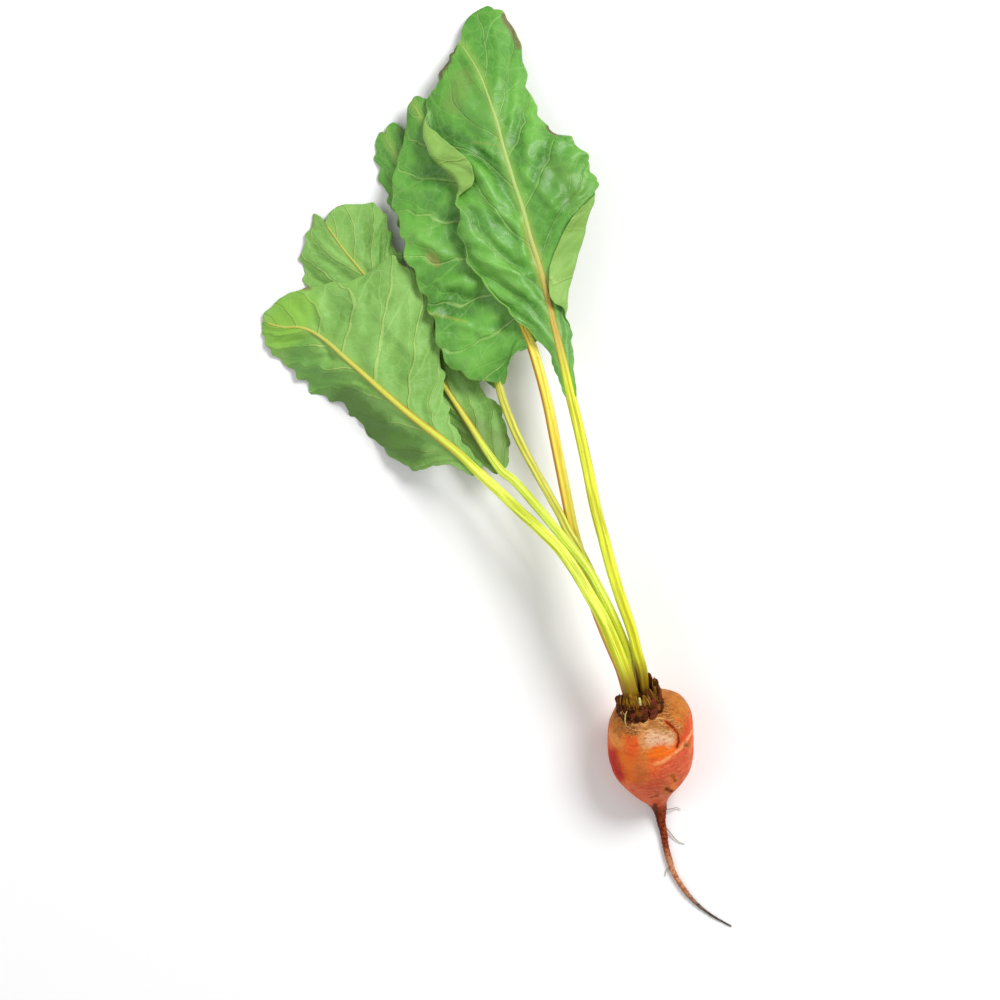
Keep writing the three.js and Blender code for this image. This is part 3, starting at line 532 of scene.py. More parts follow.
# Pale fibres, each through points given across, up and along the axis.
CROWN_FIBRES = [
    [[12.2, 2, 5], [12.4, 1.5, 10], [12.9, 1, 13.5]],
    [[-8.8, 10, 1], [-9.6, 12, 3.5], [-8, 13.5, 5.5]],
    [[-8.5, 13, -2], [-7.4, 13.6, 1.5], [-8.4, 12.8, 4]],
    [[7.6, 14.4, -1.5], [9.2, 14.6, 0.5], [10.2, 13.6, 2.5]],
    [[-5.1, 13.2, 6.3], [-7.6, 14.8, 2.4], [-8.4, 15.4, -1.4], [-8, 15.6, -5.1]],
    [[3, 15.2, 0.5], [4.4, 15.8, -0.6], [5, 15.6, -2.4]],
    [[12.4, 6, 1], [13.6, 6.5, 3], [13.4, 5.6, 5.5]],
]
FIBRE_SIZES = [[0.3, 0.26], [0.32, 0.26], [0.12, 0.12]]
FIBRE_DRYNESS = 1.8
# Scales and knobs, drawn by chance between two ends each: height, half width, where they start along
# the axis, how far out they sit, and size.
SCALE_COUNT = 130
SCALE_TURN = 0.381966
SCALE_TALL = (2.2, 6)
SCALE_WIDE = (1.1, 3.2)
SCALE_START = (-4.2, 3.4)
SCALE_OUT = (11.6, 9)
KNOB_COUNT = 150
KNOB_SIZE = (0.9, 2.5)
KNOB_START = (-3.8, 6.2)
KNOB_OUT = (12.3, 10.8)


def crown_point(angle, out, height):
    """A point of the crown by its angle, distance from the middle and height along the axis."""
    front = 1 + CROWN_FRONT * max(math.sin(angle), 0)
    across = CROWN_MIDDLE[0] + out * front * math.cos(angle)
    return at_crown(across, CROWN_MIDDLE[1] + out * front * math.sin(angle), height)


def crown_outward(angle):
    """Direction from the crown's middle outwards."""
    return crown_point(angle, 12, 0) - crown_point(angle, 1, 0)


def spread(ends, share):
    """From the first of two ends, at 0, to the second, at 1."""
    return ends[0] + (ends[1] - ends[0]) * share


def crown_tint(dry, fresh=0.0, plum=0.0):
    """Numbers that the crown's material turns into brown, straw, olive and purple tones."""
    return {"dry": dry, "fresh": fresh, "plum": plum}


def dome_at(u, v):
    height, radius = curve_at(CROWN_RINGS, v * (len(CROWN_RINGS) - 1))
    angle = 2 * math.pi * u
    point = crown_point(angle, radius, height)
    swell = 1 + 0.13 * rough(point, 3.4) + 0.08 * rough(point, 1.4, 5)
    return crown_point(angle, radius * swell, height), crown_tint(0.1)


bm = bmesh.new()
add_grid(bm, 72, 24, dome_at)
noise.seed_set(11)

# Papery scales all round, which stand up or hang over the shoulder.
for i in range(SCALE_COUNT):
    level = noise.random()
    angle = 2 * math.pi * (i * SCALE_TURN + 0.05 * noise.random())
    tall = spread(SCALE_TALL, noise.random() ** 2)
    wide = spread(SCALE_WIDE, noise.random())
    start = spread(SCALE_START, level)
    hang = (level - 0.45) * (1 if noise.random() > 0.3 else -1)
    twist = 0.9 * (noise.random() - 0.5)
    out = spread(SCALE_OUT, level)
    flake = [
        crown_point(angle, out - 0.5, start),
        crown_point(angle + 0.3 * twist, out + 0.5 + 0.5 * noise.random(), start + tall * 0.45),
        crown_point(angle + twist, out + 2.4 * noise.random() - 0.5, start + tall),
    ]
    if hang < -0.1:
        flake[1:] = [
            crown_point(angle + 0.3 * twist, out + 1.3, start - tall * 0.3),
            crown_point(angle + twist, out + 2.2, start - tall * 0.62),
        ]
    sizes = [[wide, 0.45], [wide * 1.1, 0.4], [wide * 0.7, 0.32], [wide * 0.25, 0.16]]
    tint = crown_tint(noise.random(), 0.28 * noise.random(), noise.random() ** 2)
    add_tube(bm, flake, sizes, 10, 12, crown_outward(angle), tint)

# Purple-brown knobs along the front of the collar.
for i in range(KNOB_COUNT):
    angle = math.pi * (-0.05 + 1.1 * noise.random())
    size = spread(KNOB_SIZE, noise.random() ** 2)
    level = noise.random()
    out = spread(KNOB_OUT, level) + noise.random()
    middle = crown_point(angle, out, spread(KNOB_START, level))
    knob = [middle - bulb_axis * size, middle + bulb_across * 0.3 * size, middle + bulb_axis * size]
    tint = crown_tint(0.7 * noise.random(), 0, noise.random() ** 0.6)
    add_tube(bm, knob, [[size, size * 0.8]] * 3, 12, 10, crown_outward(angle), tint)

# Husks in front of the stalks, each frayed into splinters.
for angle, out, tall, wide, freshness in CROWN_HUSKS:
    turn = math.radians(angle + 5 * (noise.random() - 0.5))
    outward = crown_outward(turn)
    husk = [
        crown_point(turn, out + lean, HUSK_START + HUSK_TALL * tall * share)
        for lean, share in zip(HUSK_LEAN, CROWN_SHARES)
    ]
    sizes = [[wide * 0.5, 0.7], [wide * 0.55, 0.8], [wide * 0.42, 0.6], [wide * 0.16, 0.3]]
    add_tube(bm, husk, sizes, 16, 26, outward, crown_tint(0.5 * noise.random(), freshness))
    for k in range(HUSK_SPLINTERS):
        slide = (k - 0.5 * HUSK_SPLINTERS + 0.5) * 0.11 + 0.1 * (noise.random() - 0.5)
        tip = tall * (0.75 + 0.4 * noise.random())
        splinter = [
            crown_point(turn + slide, out + 0.3, 5),
            crown_point(turn + slide * 1.1, out + 0.3, 5 + tip * 0.4),
            crown_point(turn + slide * 1.2, out - 1.6, 5 + tip * 0.75),
        ]
        tint = crown_tint(noise.random(), 1.4 * freshness * noise.random())
        add_tube(bm, splinter, [[0.5, 0.35], [0.45, 0.3], [0.12, 0.12]], 8, 12, outward, tint)

# Stubs of cut stalks at both sides, frayed too.
for angle, out, tall, wide, thick, lean in CROWN_STUBS:
    turn = math.radians(angle)
    outward = crown_outward(turn)
    stub = [
        crown_point(turn, out + lean * tall * share ** 2, -1 + (3 + tall) * share)
        for share in CROWN_SHARES
    ]
    sizes = [[wide * share, thick * share] for share in (0.5, 0.5, 0.42, 0.3)]
    add_tube(bm, stub, sizes, 20, 24, outward, crown_tint(0.3 + 0.4 * noise.random()))
    for k in range(STUB_SPLINTERS):
        slide = (k - 0.5 * STUB_SPLINTERS + 0.5) * 0.085
        splinter = [
            crown_point(turn + slide, out + lean * tall * share ** 2 + 0.5, tall * share)
            for share in (0.2, 0.7, 1)
        ]
        splinter[2] += bulb_axis * (3 * noise.random() - 0.8)
        tint = crown_tint(noise.random(), 0.5 * noise.random())
        add_tube(bm, splinter, [[0.75, 0.5], [0.6, 0.4], [0.15, 0.15]], 8, 10, outward, tint)

# Pale fibres, and then all of it made a little lumpy.
for fibre in CROWN_FIBRES:
    strand_points = [at_crown(*p) for p in fibre]
    add_tube(bm, strand_points, FIBRE_SIZES, 8, 16, bulb_upper, crown_tint(FIBRE_DRYNESS))
for vertex in bm.verts:
    lump = 0.3 * rough(vertex.co / MM, 0.9, 3)
    vertex.co += Vector((lump, -lump, lump)) * MM

dry, principled, place = new_material("dry_leaf_bases")
dryness = attribute(place, "dry")
fresh = attribute(place, "fresh")
blot = grain(place, 2.6, 4, 0.62)
fine = grain(place, 0.5, 4, 0.6)
dull = dryness + (blot - 0.5) * 0.7
plum = (attribute(place, "plum") + (blot - 0.5) * 0.5).step(0.55, 0.85)
tone = layered(
    dull.step(0.0, 0.45).paint(colour(42, 16, 0), colour(84, 42, 8)),
    (plum, 108, 46, 30),
    (dull.step(0.5, 0.75), 128, 78, 22),
    (dull.step(0.85, 1.05), 172, 124, 66),
)
budding = blot.step(0.4, 0.62).paint(colour(160, 126, 24), colour(126, 80, 10))
tone = layered(
    (fresh + (blot - 0.5) * 0.4).step(0.25, 0.6).paint(tone, budding),
    (fine.step(0.56, 0.68) * 0.4, 166, 114, 58),
    (fine.step(0.44, 0.34) * 0.6, 40, 16, 2),
    (dryness.step(1.4, 1.7), 206, 176, 100),
)
connect(
    principled,
    Base_Color=tone,
    Roughness=0.7,
    Specular_IOR_Level=0.06,
    Normal=relief(place, [(blot, 0.6), (fine, 0.4)]),
)
finish_piece("crown_of_scales", bm, [dry], ["crown"])

# Young shoot: a small pale sprout of an unfolding leaf that stands in the crown in front of the stalks.
# It is smooth, moist and curled over at its tip.
SHOOT = [[-4.4, 27.9, 51], [-4.7, 29.5, 53.3], [-5.3, 32.1, 54], [-5.7, 34.4, 53.6]]
SHOOT_SIZES = [[1.2, 1.0], [1.35, 1.1], [1.0, 0.85], [0.5, 0.4]]
bm = bmesh.new()
add_tube(bm, SHOOT, SHOOT_SIZES, 24, 40)
sprout, principled, place = new_material("sprout")
tone = grain(place, 1.4).step(0.35, 0.65).paint(colour(196, 176, 84), colour(226, 214, 150))
connect(
    principled,
    Base_Color=tone,
    Roughness=0.42,
    Subsurface_Weight=0.15,
    Subsurface_Radius=(0.002, 0.0015, 0.0006),
)
finish_piece("sprout_in_crown", bm, [sprout], ["young_shoot"])

# Leaves: the beet's green top, five long stalks with waved blades that lie over one another. A leaf is
# its seat in the crown, the stalk's points, widths along stalk and midrib, stations of the blade
# (midrib, left and right margin) and how much of the margin is folded back at each.

# A crease is its height and breadth and its line. A mark is the ends of its line, how far from it the
# mark starts and where it is full, and its colour and strength. Some marks are painted shade and some
# painted light.
LEAF_1 = {
    "name": "leaf_1", "face_up": True, "seat": (7.2, 0.8), "flatness": 1.05,
    "stalk_widths": [5.2, 5.8, 6.8, 6.8, 6.2],
    "rib_widths": [6, 4.8, 3.6, 2.8, 1.6, 0.9],
    "stalk": [
        [-1.7, 36.7, 41.8], [-3.5, 50, 46], [-6.5, 60, 48.5], [-10.5, 75, 50.5], [-15.5, 89, 51],
        [-21, 106.5, 50.5], [-26, 125.5, 49.5], [-31, 144.5, 48.5], [-35.5, 167.5, 47],
        [-40, 188, 45], [-44.5, 206.5, 43],
    ],
    "stations": [
        [[-44.5, 206.5, 43], [-48, 206.5, 43], [-41, 207, 43]],
        [[-48, 222.5, 42], [-53, 220, 41.5], [-43, 225, 41.5]],
        [[-52, 239, 40], [-59, 235, 39.5], [-44, 241, 39]],
        [[-55.5, 253, 39], [-73, 248.5, 37.5], [-47, 256, 37]],
        [[-58.5, 267, 38], [-86, 262, 36.5], [-44.5, 273, 35.5]],
        [[-63, 283, 37.5], [-100, 279, 35], [-38.5, 294, 34]],
        [[-68, 299, 37], [-107.5, 297, 34], [-33.5, 313, 33.5]],
        [[-73, 317, 36], [-109.5, 316, 32.5], [-29.5, 327, 33.5]],
        [[-78.5, 334, 35], [-111, 332, 31], [-34, 342, 31.5]],
        [[-83, 349, 33.5], [-122, 342, 27.5], [-43, 355, 29]],
        [[-86.5, 363, 30.5], [-129, 355, 24.5], [-56, 361, 26.5]],
        [[-90, 374.5, 27.5], [-128, 375, 21], [-64, 373, 22.5]],
        [[-94, 386, 23], [-121, 392, 17], [-70, 391, 16.5]],
        [[-98.5, 397, 18], [-115, 404, 12.5], [-73, 411, 9]],
        [[-104, 406.5, 13], [-111, 411, 10], [-83, 431, 3]],
        [[-108.5, 414, 9], [-110, 413, 9], [-93, 436, 0]],
    ],
    "left_fold": [0, 0, 0.5, 2.5, 4, 3.5, 1, 1, 11, 17, 10, 0, 0, 0, 0, 0],
    "right_fold": [0, 0, 0, 4, 14, 18.5, 12, 1, 0, 0, 0, 0, 0, 0, 0, 0],
    "teeth": 15, "arch": 2.5, "ruffle": 1.6, "seed": 1.3, "tip_bulge": (0, 5),
    "stalk_colours": [(230, 240, 60), (186, 184, 34)], "orange_edged": False,
    "rib_colours": [(196, 170, 74), (166, 192, 108)],
    "creases": [
        [2.6, 3.2, (-98.3, 337.6), (-86.5, 313.8), (-75.2, 303.9), (-71, 288.3)],
        [-2.2, 3.4, (-96.4, 345.1), (-83.7, 326.5), (-75.2, 313.8)],
        [2.0, 2.4, (-100.7, 288.8), (-86.5, 281.1), (-69.6, 276.8)],
        [-1.6, 2.6, (-96.4, 276.8), (-82.4, 268.3), (-71, 264)],
        [1.8, 3, (-72.5, 336.4), (-63.8, 326.5), (-52.5, 313.8)],
        [1.2, 3, (-71, 361.9), (-69.6, 345.1)],
        [-1.4, 4, (-60, 345), (-50, 330), (-44, 318)],
    ],
    "marks": [
        [(-82.9, 429.2), (-75.4, 411.8), 3.4, 1.2, (104, 84, 52), 0.9],
        [(-111.4, 410.1), (-119.5, 393.8), 3.2, 1, (88, 70, 44), 0.9],
        [(-56.8, 363.1), (-52.8, 358.4), 3.2, 1.4, (98, 72, 50), 0.9],
        [(-84, 351.5), (-101, 354), 1.3, 0.4, (150, 150, 62), 0.4],
        [(-70.5, 306), (-60, 271), 4.2, 1.6, (166, 150, 54), 0.3],
        [(-52, 336), (-40, 322), 14, 4, (96, 142, 56), 0.6],
        [(-106, 392), (-112, 376), 9, 3, (112, 138, 66), 0.5],
        # The next two marks darken the blade as painted shade.
        [(-97, 376), (-99, 364), 14, 4, (76, 130, 46), 0.55],
        [(-59, 328), (-53, 318), 12, 3, (78, 136, 48), 0.4],
        # This mark lightens the blade as painted light.
        [(-92, 278), (-86, 266), 15, 4, (118, 180, 76), 0.5],
        [(-43, 292), (-42, 270), 9, 4, (122, 168, 76), 0.5],
    ],
}
LEAF_2 = {
    "name": "leaf_2", "face_up": True, "seat": (-3.4, -1.7), "flatness": 1.08,
    "stalk_widths": [4.2, 6, 6.4, 6.5, 6.4, 6],
    "rib_widths": [5.6, 4.4, 3.2, 2.4, 1.5, 0.9],
    "stalk": [
        [-13.2, 38.5, 39.4], [-16.3, 50, 38.5], [-20.5, 60.5, 38.8], [-24.8, 71, 38], [-29, 82, 36],
        [-32.8, 93, 33.3], [-36.2, 105, 31], [-39.5, 117.5, 30.5], [-43, 130, 31],
        [-46.5, 147, 32], [-49.5, 162, 32.5], [-53.5, 182, 33], [-57.5, 202, 33],
        [-61.5, 218, 33], [-67, 236.5, 32.5],
    ],
    "stations": [
        [[-67, 236.5, 32.5], [-71, 234, 32.5], [-64, 239, 32.5]],
        [[-71.5, 247, 32], [-78, 231, 30], [-60, 243, 32]],
        [[-76, 258, 31], [-86, 216, 27.5], [-56, 256, 31.5]],
        [[-81, 269.5, 30.5], [-105, 219, 25.5], [-52, 272, 31]],
        [[-86.5, 282.5, 29], [-119, 231, 24.5], [-50, 289, 30]],
        [[-92, 296, 28], [-124, 251, 24], [-53, 307, 29]],
        [[-98.5, 309.5, 26.5], [-130, 267, 23.5], [-62, 327, 28]],
        [[-105.5, 323.5, 25], [-139, 286, 21.5], [-74, 346, 26]],
        [[-113, 337.5, 23], [-143, 305, 18.5], [-89, 361, 23.5]],
        [[-120, 350, 21], [-148, 322, 15.5], [-104, 371, 21]],
        [[-127, 362.5, 18.5], [-146, 340, 14], [-117, 378, 18]],
        [[-133, 373, 16], [-141, 357, 13], [-126, 380, 15.5]],
        [[-136.5, 379.5, 14], [-139, 373, 12.5], [-133, 382, 14]],
    ],
    "teeth": 14, "arch": 1.6, "ruffle": 1.5, "seed": 2.7, "tip_bulge": (1, 1),
    "stalk_colours": [(246, 238, 104), (226, 200, 60)], "orange_edged": True,
    "rib_colours": [(216, 188, 80), (160, 184, 84)],
    "creases": [
        [2.0, 3.4, (-133, 300), (-118, 288), (-98, 283)],
        [1.6, 3, (-112, 252), (-96, 244), (-84, 243)],
        [-1.6, 3.4, (-130, 274), (-112, 266), (-96, 262)],
    ],
    "marks": [
        [(-125.5, 289), (-122, 285.5), 4.5, 1, (168, 156, 86), 0.55],
        [(-135.5, 361.5), (-130, 358), 3.4, 1.2, (100, 76, 48), 0.85],
        [(-128, 256), (-104, 250), 1.2, 0.4, (168, 174, 78), 0.35],
        # This mark lightens the blade as painted light.
        [(-105, 236), (-96, 230), 14, 4, (112, 176, 68), 0.45],
    ],
}
LEAF_3 = {
    "name": "leaf_3", "face_up": False, "seat": (-0.5, 4.2), "flatness": 0.67,
    "stalk_widths": [8.4, 8, 7.2, 6.6, 6.2, 6],
    "rib_widths": [5.6, 4.2, 3, 2, 1.3, 0.8],
    "stalk": [
        [-9, 33.5, 45], [-13, 47.5, 48], [-18.2, 60.5, 50], [-25.4, 77.5, 51], [-33, 91, 50.5],
        [-42, 106.5, 49], [-51.5, 119.5, 46], [-62, 130, 43], [-73.5, 140.5, 39.5],
        [-85.5, 152, 36], [-98, 163.5, 33],
    ],
    "stations": [
        [[-98, 163.5, 33], [-101, 161, 33], [-95, 167, 33]],
        [[-109.5, 174.5, 30], [-117, 168, 27], [-102, 175, 30.5]],
        [[-122.5, 185, 27.5], [-135, 165, 13], [-111, 188, 27]],
        [[-136.5, 196, 25], [-152, 176, 5], [-117, 204, 23.5]],
        [[-150, 207.5, 23], [-166, 191, 1.5], [-119, 226, 20]],
        [[-164, 220, 20.5], [-178, 204, 3.5], [-123, 251, 18]],
        [[-177, 231.5, 17.5], [-192, 209, 1.5], [-133, 275, 16]],
        [[-186, 239.5, 15], [-202, 219, 2], [-148, 288, 14.5]],
        [[-195, 245.5, 12.5], [-211, 227, 1], [-168, 276, 12.5]],
        [[-203, 248, 10.5], [-219, 234, 2.5], [-186, 273, 9.5]],
        [[-211, 248, 8], [-223, 242, 2], [-201, 270, 7.5]],
        [[-217.5, 249.5, 5], [-224, 247, 1], [-212, 266, 4.5]],
        [[-223, 251.5, 2.5], [-224.5, 250.5, 0.8], [-220, 259, 2]],
    ],
    "teeth": 14, "arch": 2, "ruffle": 1.5, "seed": 4.1, "tip_bulge": (0.5, 2),
    "stalk_colours": [(232, 250, 92), (180, 190, 34)], "orange_edged": False,
    "rib_colours": [(208, 212, 74), (196, 196, 92)],
    "creases": [
        [-1.8, 2.6, (-197.8, 272.6), (-191.4, 246.5), (-183.3, 230.3)],
        [1.4, 3.4, (-160, 262), (-150, 246), (-140, 236)],
    ],
    "marks": [
        [(-214, 246), (-203, 258), 17, 6, (134, 186, 60), 0.7],
        # The next three marks are painted shade on the lower left half, which slopes away from the
        # light: medium first, then dark.
        [(-201.3, 229.7), (-183.9, 210), 12, 4, (104, 156, 72), 0.75],
        [(-175.2, 205.3), (-157.8, 189.1), 13, 5, (84, 124, 48), 0.9],
        [(-157.8, 189.1), (-137.5, 175.2), 12, 5, (84, 124, 48), 0.9],
        [(-205.3, 273.8), (-197.8, 270.3), 3, 1, (120, 104, 70), 0.8],
    ],
}
LEAF_4 = {
    "name": "leaf_4", "face_up": False, "seat": (1.7, -2.4), "flatness": 0.93,
    "stalk_widths": [5.4, 5.6, 5.6, 5.5, 5.2],
    "rib_widths": [5, 3.8, 2.8, 1.9, 1.2, 0.8],
    "stalk": [
        [-8, 36.5, 39], [-10.2, 47.5, 42.5], [-12.5, 60.5, 45.5], [-18.2, 75, 47.5], [-25, 89.5, 48],
        [-33, 104.5, 46.5], [-40.5, 115, 44.5], [-47, 123, 42.5], [-54.5, 132, 39.5],
        [-62, 141, 37], [-76.5, 157.5, 31.5], [-84.5, 164, 28],
    ],
    "stations": [
        [[-84.5, 164, 28], [-87.5, 162, 28], [-81, 167, 28]],
        [[-93, 175.5, 24], [-97, 169, 23], [-80, 178, 21]],
        [[-102, 189.5, 19], [-111, 184, 15], [-84, 198, 17.5]],
        [[-111.5, 204, 15], [-128, 198, 9], [-96, 212, 13.5]],
        [[-120.5, 217.5, 12], [-143, 215, 6], [-110, 228, 11]],
        [[-130.5, 232, 10.5], [-158, 231, 4], [-122, 249, 10]],
        [[-141, 246.5, 9.5], [-172, 247, 2.5], [-134, 269, 9]],
        [[-151.5, 261.5, 9], [-185, 260, 1.5], [-142, 286, 8.5]],
        [[-161, 274.5, 8.5], [-197, 272, 1], [-148, 298, 8.5]],
        [[-170, 285.5, 8], [-201, 286, 2], [-151, 310, 7.5]],
        [[-177, 294, 7], [-199, 299, 2.5], [-157, 319, 6]],
        [[-182.5, 302, 6], [-195, 309, 1.5], [-169, 320, 4]],
        [[-187.5, 309, 4], [-194, 315, 1], [-180, 319, 3]],
    ],
    "teeth": 12, "arch": 1.2, "ruffle": 1.2, "seed": 5.9, "tip_bulge": (1, 1.5),
    "stalk_colours": [(222, 246, 98), (184, 196, 46)], "orange_edged": False,
    "rib_colours": [(212, 214, 84), (186, 190, 84)],
    "creases": [[1.6, 3, (-168, 292), (-158, 280), (-150, 272)]],
    "marks": [
        [(-192, 308.6), (-190.8, 316.7), 5, 1.4, (122, 112, 84), 0.8],
        [(-190.8, 316.7), (-181, 317.8), 4, 1.2, (128, 118, 88), 0.8],
        [(-102, 186), (-88, 176), 16, 6, (104, 134, 62), 0.7],
    ],
}
LEAF_5 = {
    "name": "leaf_5", "face_up": True, "seat": (4.5, -7), "flatness": 0.96,
    "stalk_widths": [5.2, 5.4, 5.2, 5, 4.8],
    "rib_widths": [4.6, 3.6, 2.6, 1.8, 1.2, 0.8],
    "stalk": [
        [-5, 39, 34.5], [-8.5, 51.5, 36.5], [-11.5, 60.5, 37.5], [-21.5, 80.5, 39],
        [-28.5, 94, 39], [-33, 105.5, 38.5], [-40, 119.5, 37.5], [-46.5, 130, 36.5],
        [-50.5, 138.5, 35], [-55.5, 147.5, 33], [-65, 164.5, 30], [-75, 183.5, 27],
        [-82.5, 202, 23.5], [-86, 213.5, 22],
    ],
    "stations": [
        [[-86, 213.5, 22], [-89, 212, 21.5], [-82, 215, 22]],
        [[-90.5, 227.5, 18.5], [-98, 222, 14], [-80, 233, 19.5]],
        [[-95.5, 242.5, 16], [-107, 237, 8.5], [-78, 251, 17.5]],
        [[-101, 257.5, 13.5], [-115, 252, 5], [-81, 268, 15]],
        [[-106.5, 272.5, 11.5], [-122, 268, 3], [-87, 286, 12.5]],
        [[-113, 287.5, 10], [-130, 285, 2], [-96, 303, 10.5]],
        [[-120, 303, 8.5], [-138, 299, 1.5], [-106, 318, 9]],
        [[-127.5, 317.5, 8], [-146, 313, 1.5], [-116, 332, 8]],
        [[-135, 330.5, 7], [-152, 327, 2], [-126, 345, 7]],
        [[-142, 342, 6], [-157, 342, 1.5], [-135, 356, 6]],
        [[-148.5, 352.5, 4.5], [-158, 354, 1], [-143, 365, 4]],
        [[-152, 361, 3], [-156, 362, 0.8], [-148, 368, 2]],
    ],
    "teeth": 12, "arch": 1.2, "ruffle": 1.2, "seed": 7.7, "tip_bulge": (1, 1.5),
    "stalk_colours": [(216, 218, 88), (170, 166, 44)], "orange_edged": False,
    "rib_colours": [(204, 196, 84), (170, 190, 92)],
    "creases": [],
    # This mark is painted shadow where the blade lies under the other leaves.
    "marks": [[(-140, 362), (-134, 350), 9, 3, (84, 116, 52), 0.7]],
}
LEAVES = [LEAF_1, LEAF_2, LEAF_3, LEAF_4, LEAF_5]
STALK_FOOT = 0.6
RIB_PROUD = 0.5


def strand_of(leaf):
    """Stalk and midrib as one row of points, starting in the crown."""
    foot = list(at_crown(*leaf["seat"], STALK_FOOT))
    return [foot, *leaf["stalk"], *(station[0] for station in leaf["stations"][1:])]


def strand_size(leaf, place):
    """Half the width and half the height of the strand at a place counted in points."""
    neck = len(leaf["stalk"])
    if place < neck:
        width = value_at(leaf["stalk_widths"], place / neck)
    else:
        width = value_at(leaf["rib_widths"], (place - neck) / (len(leaf["stations"]) - 1))
    return width / 2, width / 2 * leaf["flatness"]


# Stalks: each a fleshy yellow strand that widens at its foot, channelled on its upper side and ribbed
# lengthwise, with paler ridges and deeper olive lines between them. Beyond the neck it narrows to the
# midrib, which stands out on the blade's underside.
STALK_SIDES = 48
STALK_CELL = 1.6
RIB_END = 0.985
STALK_RIDGES = 5
RIDGE_HEIGHT = 0.03
GROOVE_DEPTH = 0.27
GROOVE_HALF_ANGLE = 0.42
for leaf in LEAVES:
    strand = strand_of(leaf)
    neck = len(leaf["stalk"])
    last = neck + RIB_END * (len(leaf["stations"]) - 1)
    proud = -RIB_PROUD if leaf["face_up"] else RIB_PROUD
    groove_angle = math.pi / 2 if leaf["face_up"] else -math.pi / 2

    def strand_middle(place):
        eased = max(0, min(1, place - neck + 1))
        return Vector(curve_at(strand, place)) + UP * proud * strand_size(leaf, place)[1] * eased

    spots = [0.0]
    while spots[-1] < last:
        gap = (strand_middle(spots[-1] + 0.1) - strand_middle(spots[-1])).length * 10
        spots.append(spots[-1] + STALK_CELL / max(gap, STALK_CELL / 2))
    stretch = last / spots[-1]
    sections = []
    travelled = 0.0
    for spot in spots:
        place = spot * stretch
        middle = strand_middle(place)
        if sections:
            travelled += (middle - sections[-1][0]).length
        forward = strand_middle(place + STEP) - strand_middle(max(place - STEP, 0))
        right = forward.cross(UP).normalized()
        upper = right.cross(forward).normalized()
        on_rib = max(0, place - neck)
        sections.append((middle, right, upper, *strand_size(leaf, place), travelled, on_rib))

    def stalk_at(u, v):
        index = round(v * (len(sections) - 1))
        middle, right, upper, wide, tall, run, on_rib = sections[index]
        angle = 2 * math.pi * u
        sway = 0.5 * noise.noise(Vector((run / 60, leaf["seed"], 0)))
        off = angle - groove_angle
        off = math.atan2(math.sin(off), math.cos(off)) - 0.3 * sway
        groove = GROOVE_DEPTH * math.exp(-(off / GROOVE_HALF_ANGLE) ** 2) * min(1, tall / 3)
        ridge = math.cos(STALK_RIDGES * (angle + 0.5 * sway) + leaf["seed"])
        uneven = noise.noise(Vector((run / 23, 3 * u, leaf["seed"])))
        fade = max(0, 1 - on_rib / 6)
        reach = 1 + (RIDGE_HEIGHT * (ridge - 0.5 + uneven) - groove) * fade
        end = 0 if index in (0, len(sections) - 1) else 1
        side = right * wide * math.cos(angle) + upper * tall * math.sin(angle)
        numbers = {
            "ridge": ridge * 0.5 + 0.5, "groove": math.exp(-(off / 0.45) ** 2),
            "run": run, "side": math.cos(angle), "rib": on_rib,
        }
        return middle + side * reach * end, numbers

    bm = bmesh.new()
    add_grid(bm, STALK_SIDES, len(sections) - 1, stalk_at)
    stalk_skin, principled, place = new_material(leaf["name"] + "_stalk_skin")
    light, deep = (colour(*shade) for shade in leaf["stalk_colours"])
    low_rib, high_rib = (colour(*shade) for shade in leaf["rib_colours"])
    run, side, rib = attribute(place, "run"), attribute(place, "side"), attribute(place, "rib")
    strands = {0: side * 3.2, 1: run * 0.035, 2: leaf["seed"] * 5}
    fibre = grain(place.node("ShaderNodeCombineXYZ", strands), 1.1, 5, 0.6)
    thread = grain(place.node("ShaderNodeCombineXYZ", strands), 0.35, 3, 0.6)
    cloud = grain(place, 20, 3)
    tone = (fibre + (attribute(place, "ridge") - 0.5) * 0.12).step(0.62, 0.36).paint(light, deep)
    tone = (attribute(place, "groove").step(0.55, 0.95) * 0.5).paint(tone, deep)
    tone = (thread.step(0.56, 0.7) * 0.35).paint(tone, deep)
    # Towards its foot the stalk turns more olive, then browner, and darkest right at the foot.
    browner_near_foot = (run + (fibre - 0.5) * 18).step(28, 11)
    tone = layered(
        tone,
        (run.step(80, 14) * fibre.step(0.75, 0.3) * 0.85, 200, 190, 6),
        (run.step(36, 10) * fibre.step(0.45, 0.6) * 0.7, 156, 124, 8),
        (browner_near_foot * 0.85, 140, 100, 14),
        ((run + (thread - 0.5) * 8).step(11, 6), 104, 66, 10),
    )
    if leaf["orange_edged"]:
        edge = (side * -1 + (fibre - 0.5) * 0.6).step(0.45, 0.9)
        glow = cloud.step(0.45, 0.65)
        tone = layered(tone, (edge * 0.85, 196, 108, 16), (glow * 0.25, 230, 184, 50))
    # The midrib's flanks take a darker golden tone: partly its own warmer colour, partly painted shade
    # along its edges.
    flank = (side.math("ABSOLUTE") + (fibre - 0.5)).step(0.35, 0.9)
    ribbed = rib.step(3, 7.5).paint((flank * 0.85).paint(low_rib, colour(178, 134, 40)), high_rib)
    tone = rib.step(0.0, 2.5).paint(tone, ribbed)
    tone = (grain(place, 2, 4).step(0.63, 0.7) * 0.3).paint(tone, colour(160, 120, 40))
    connect(
        principled,
        Base_Color=tone,
        Roughness=fibre * 0.2 + 0.3,
        Specular_IOR_Level=0.3,
        Subsurface_Weight=0.1,
        Subsurface_Radius=(0.003, 0.002, 0.0006),
        Normal=relief(place, [(fibre, 0.35), (thread, 0.1)]),
    )
    finish_piece(
        leaf["name"] + "_strand", bm, [stalk_skin], [leaf["name"] + "_stalk"],
    )

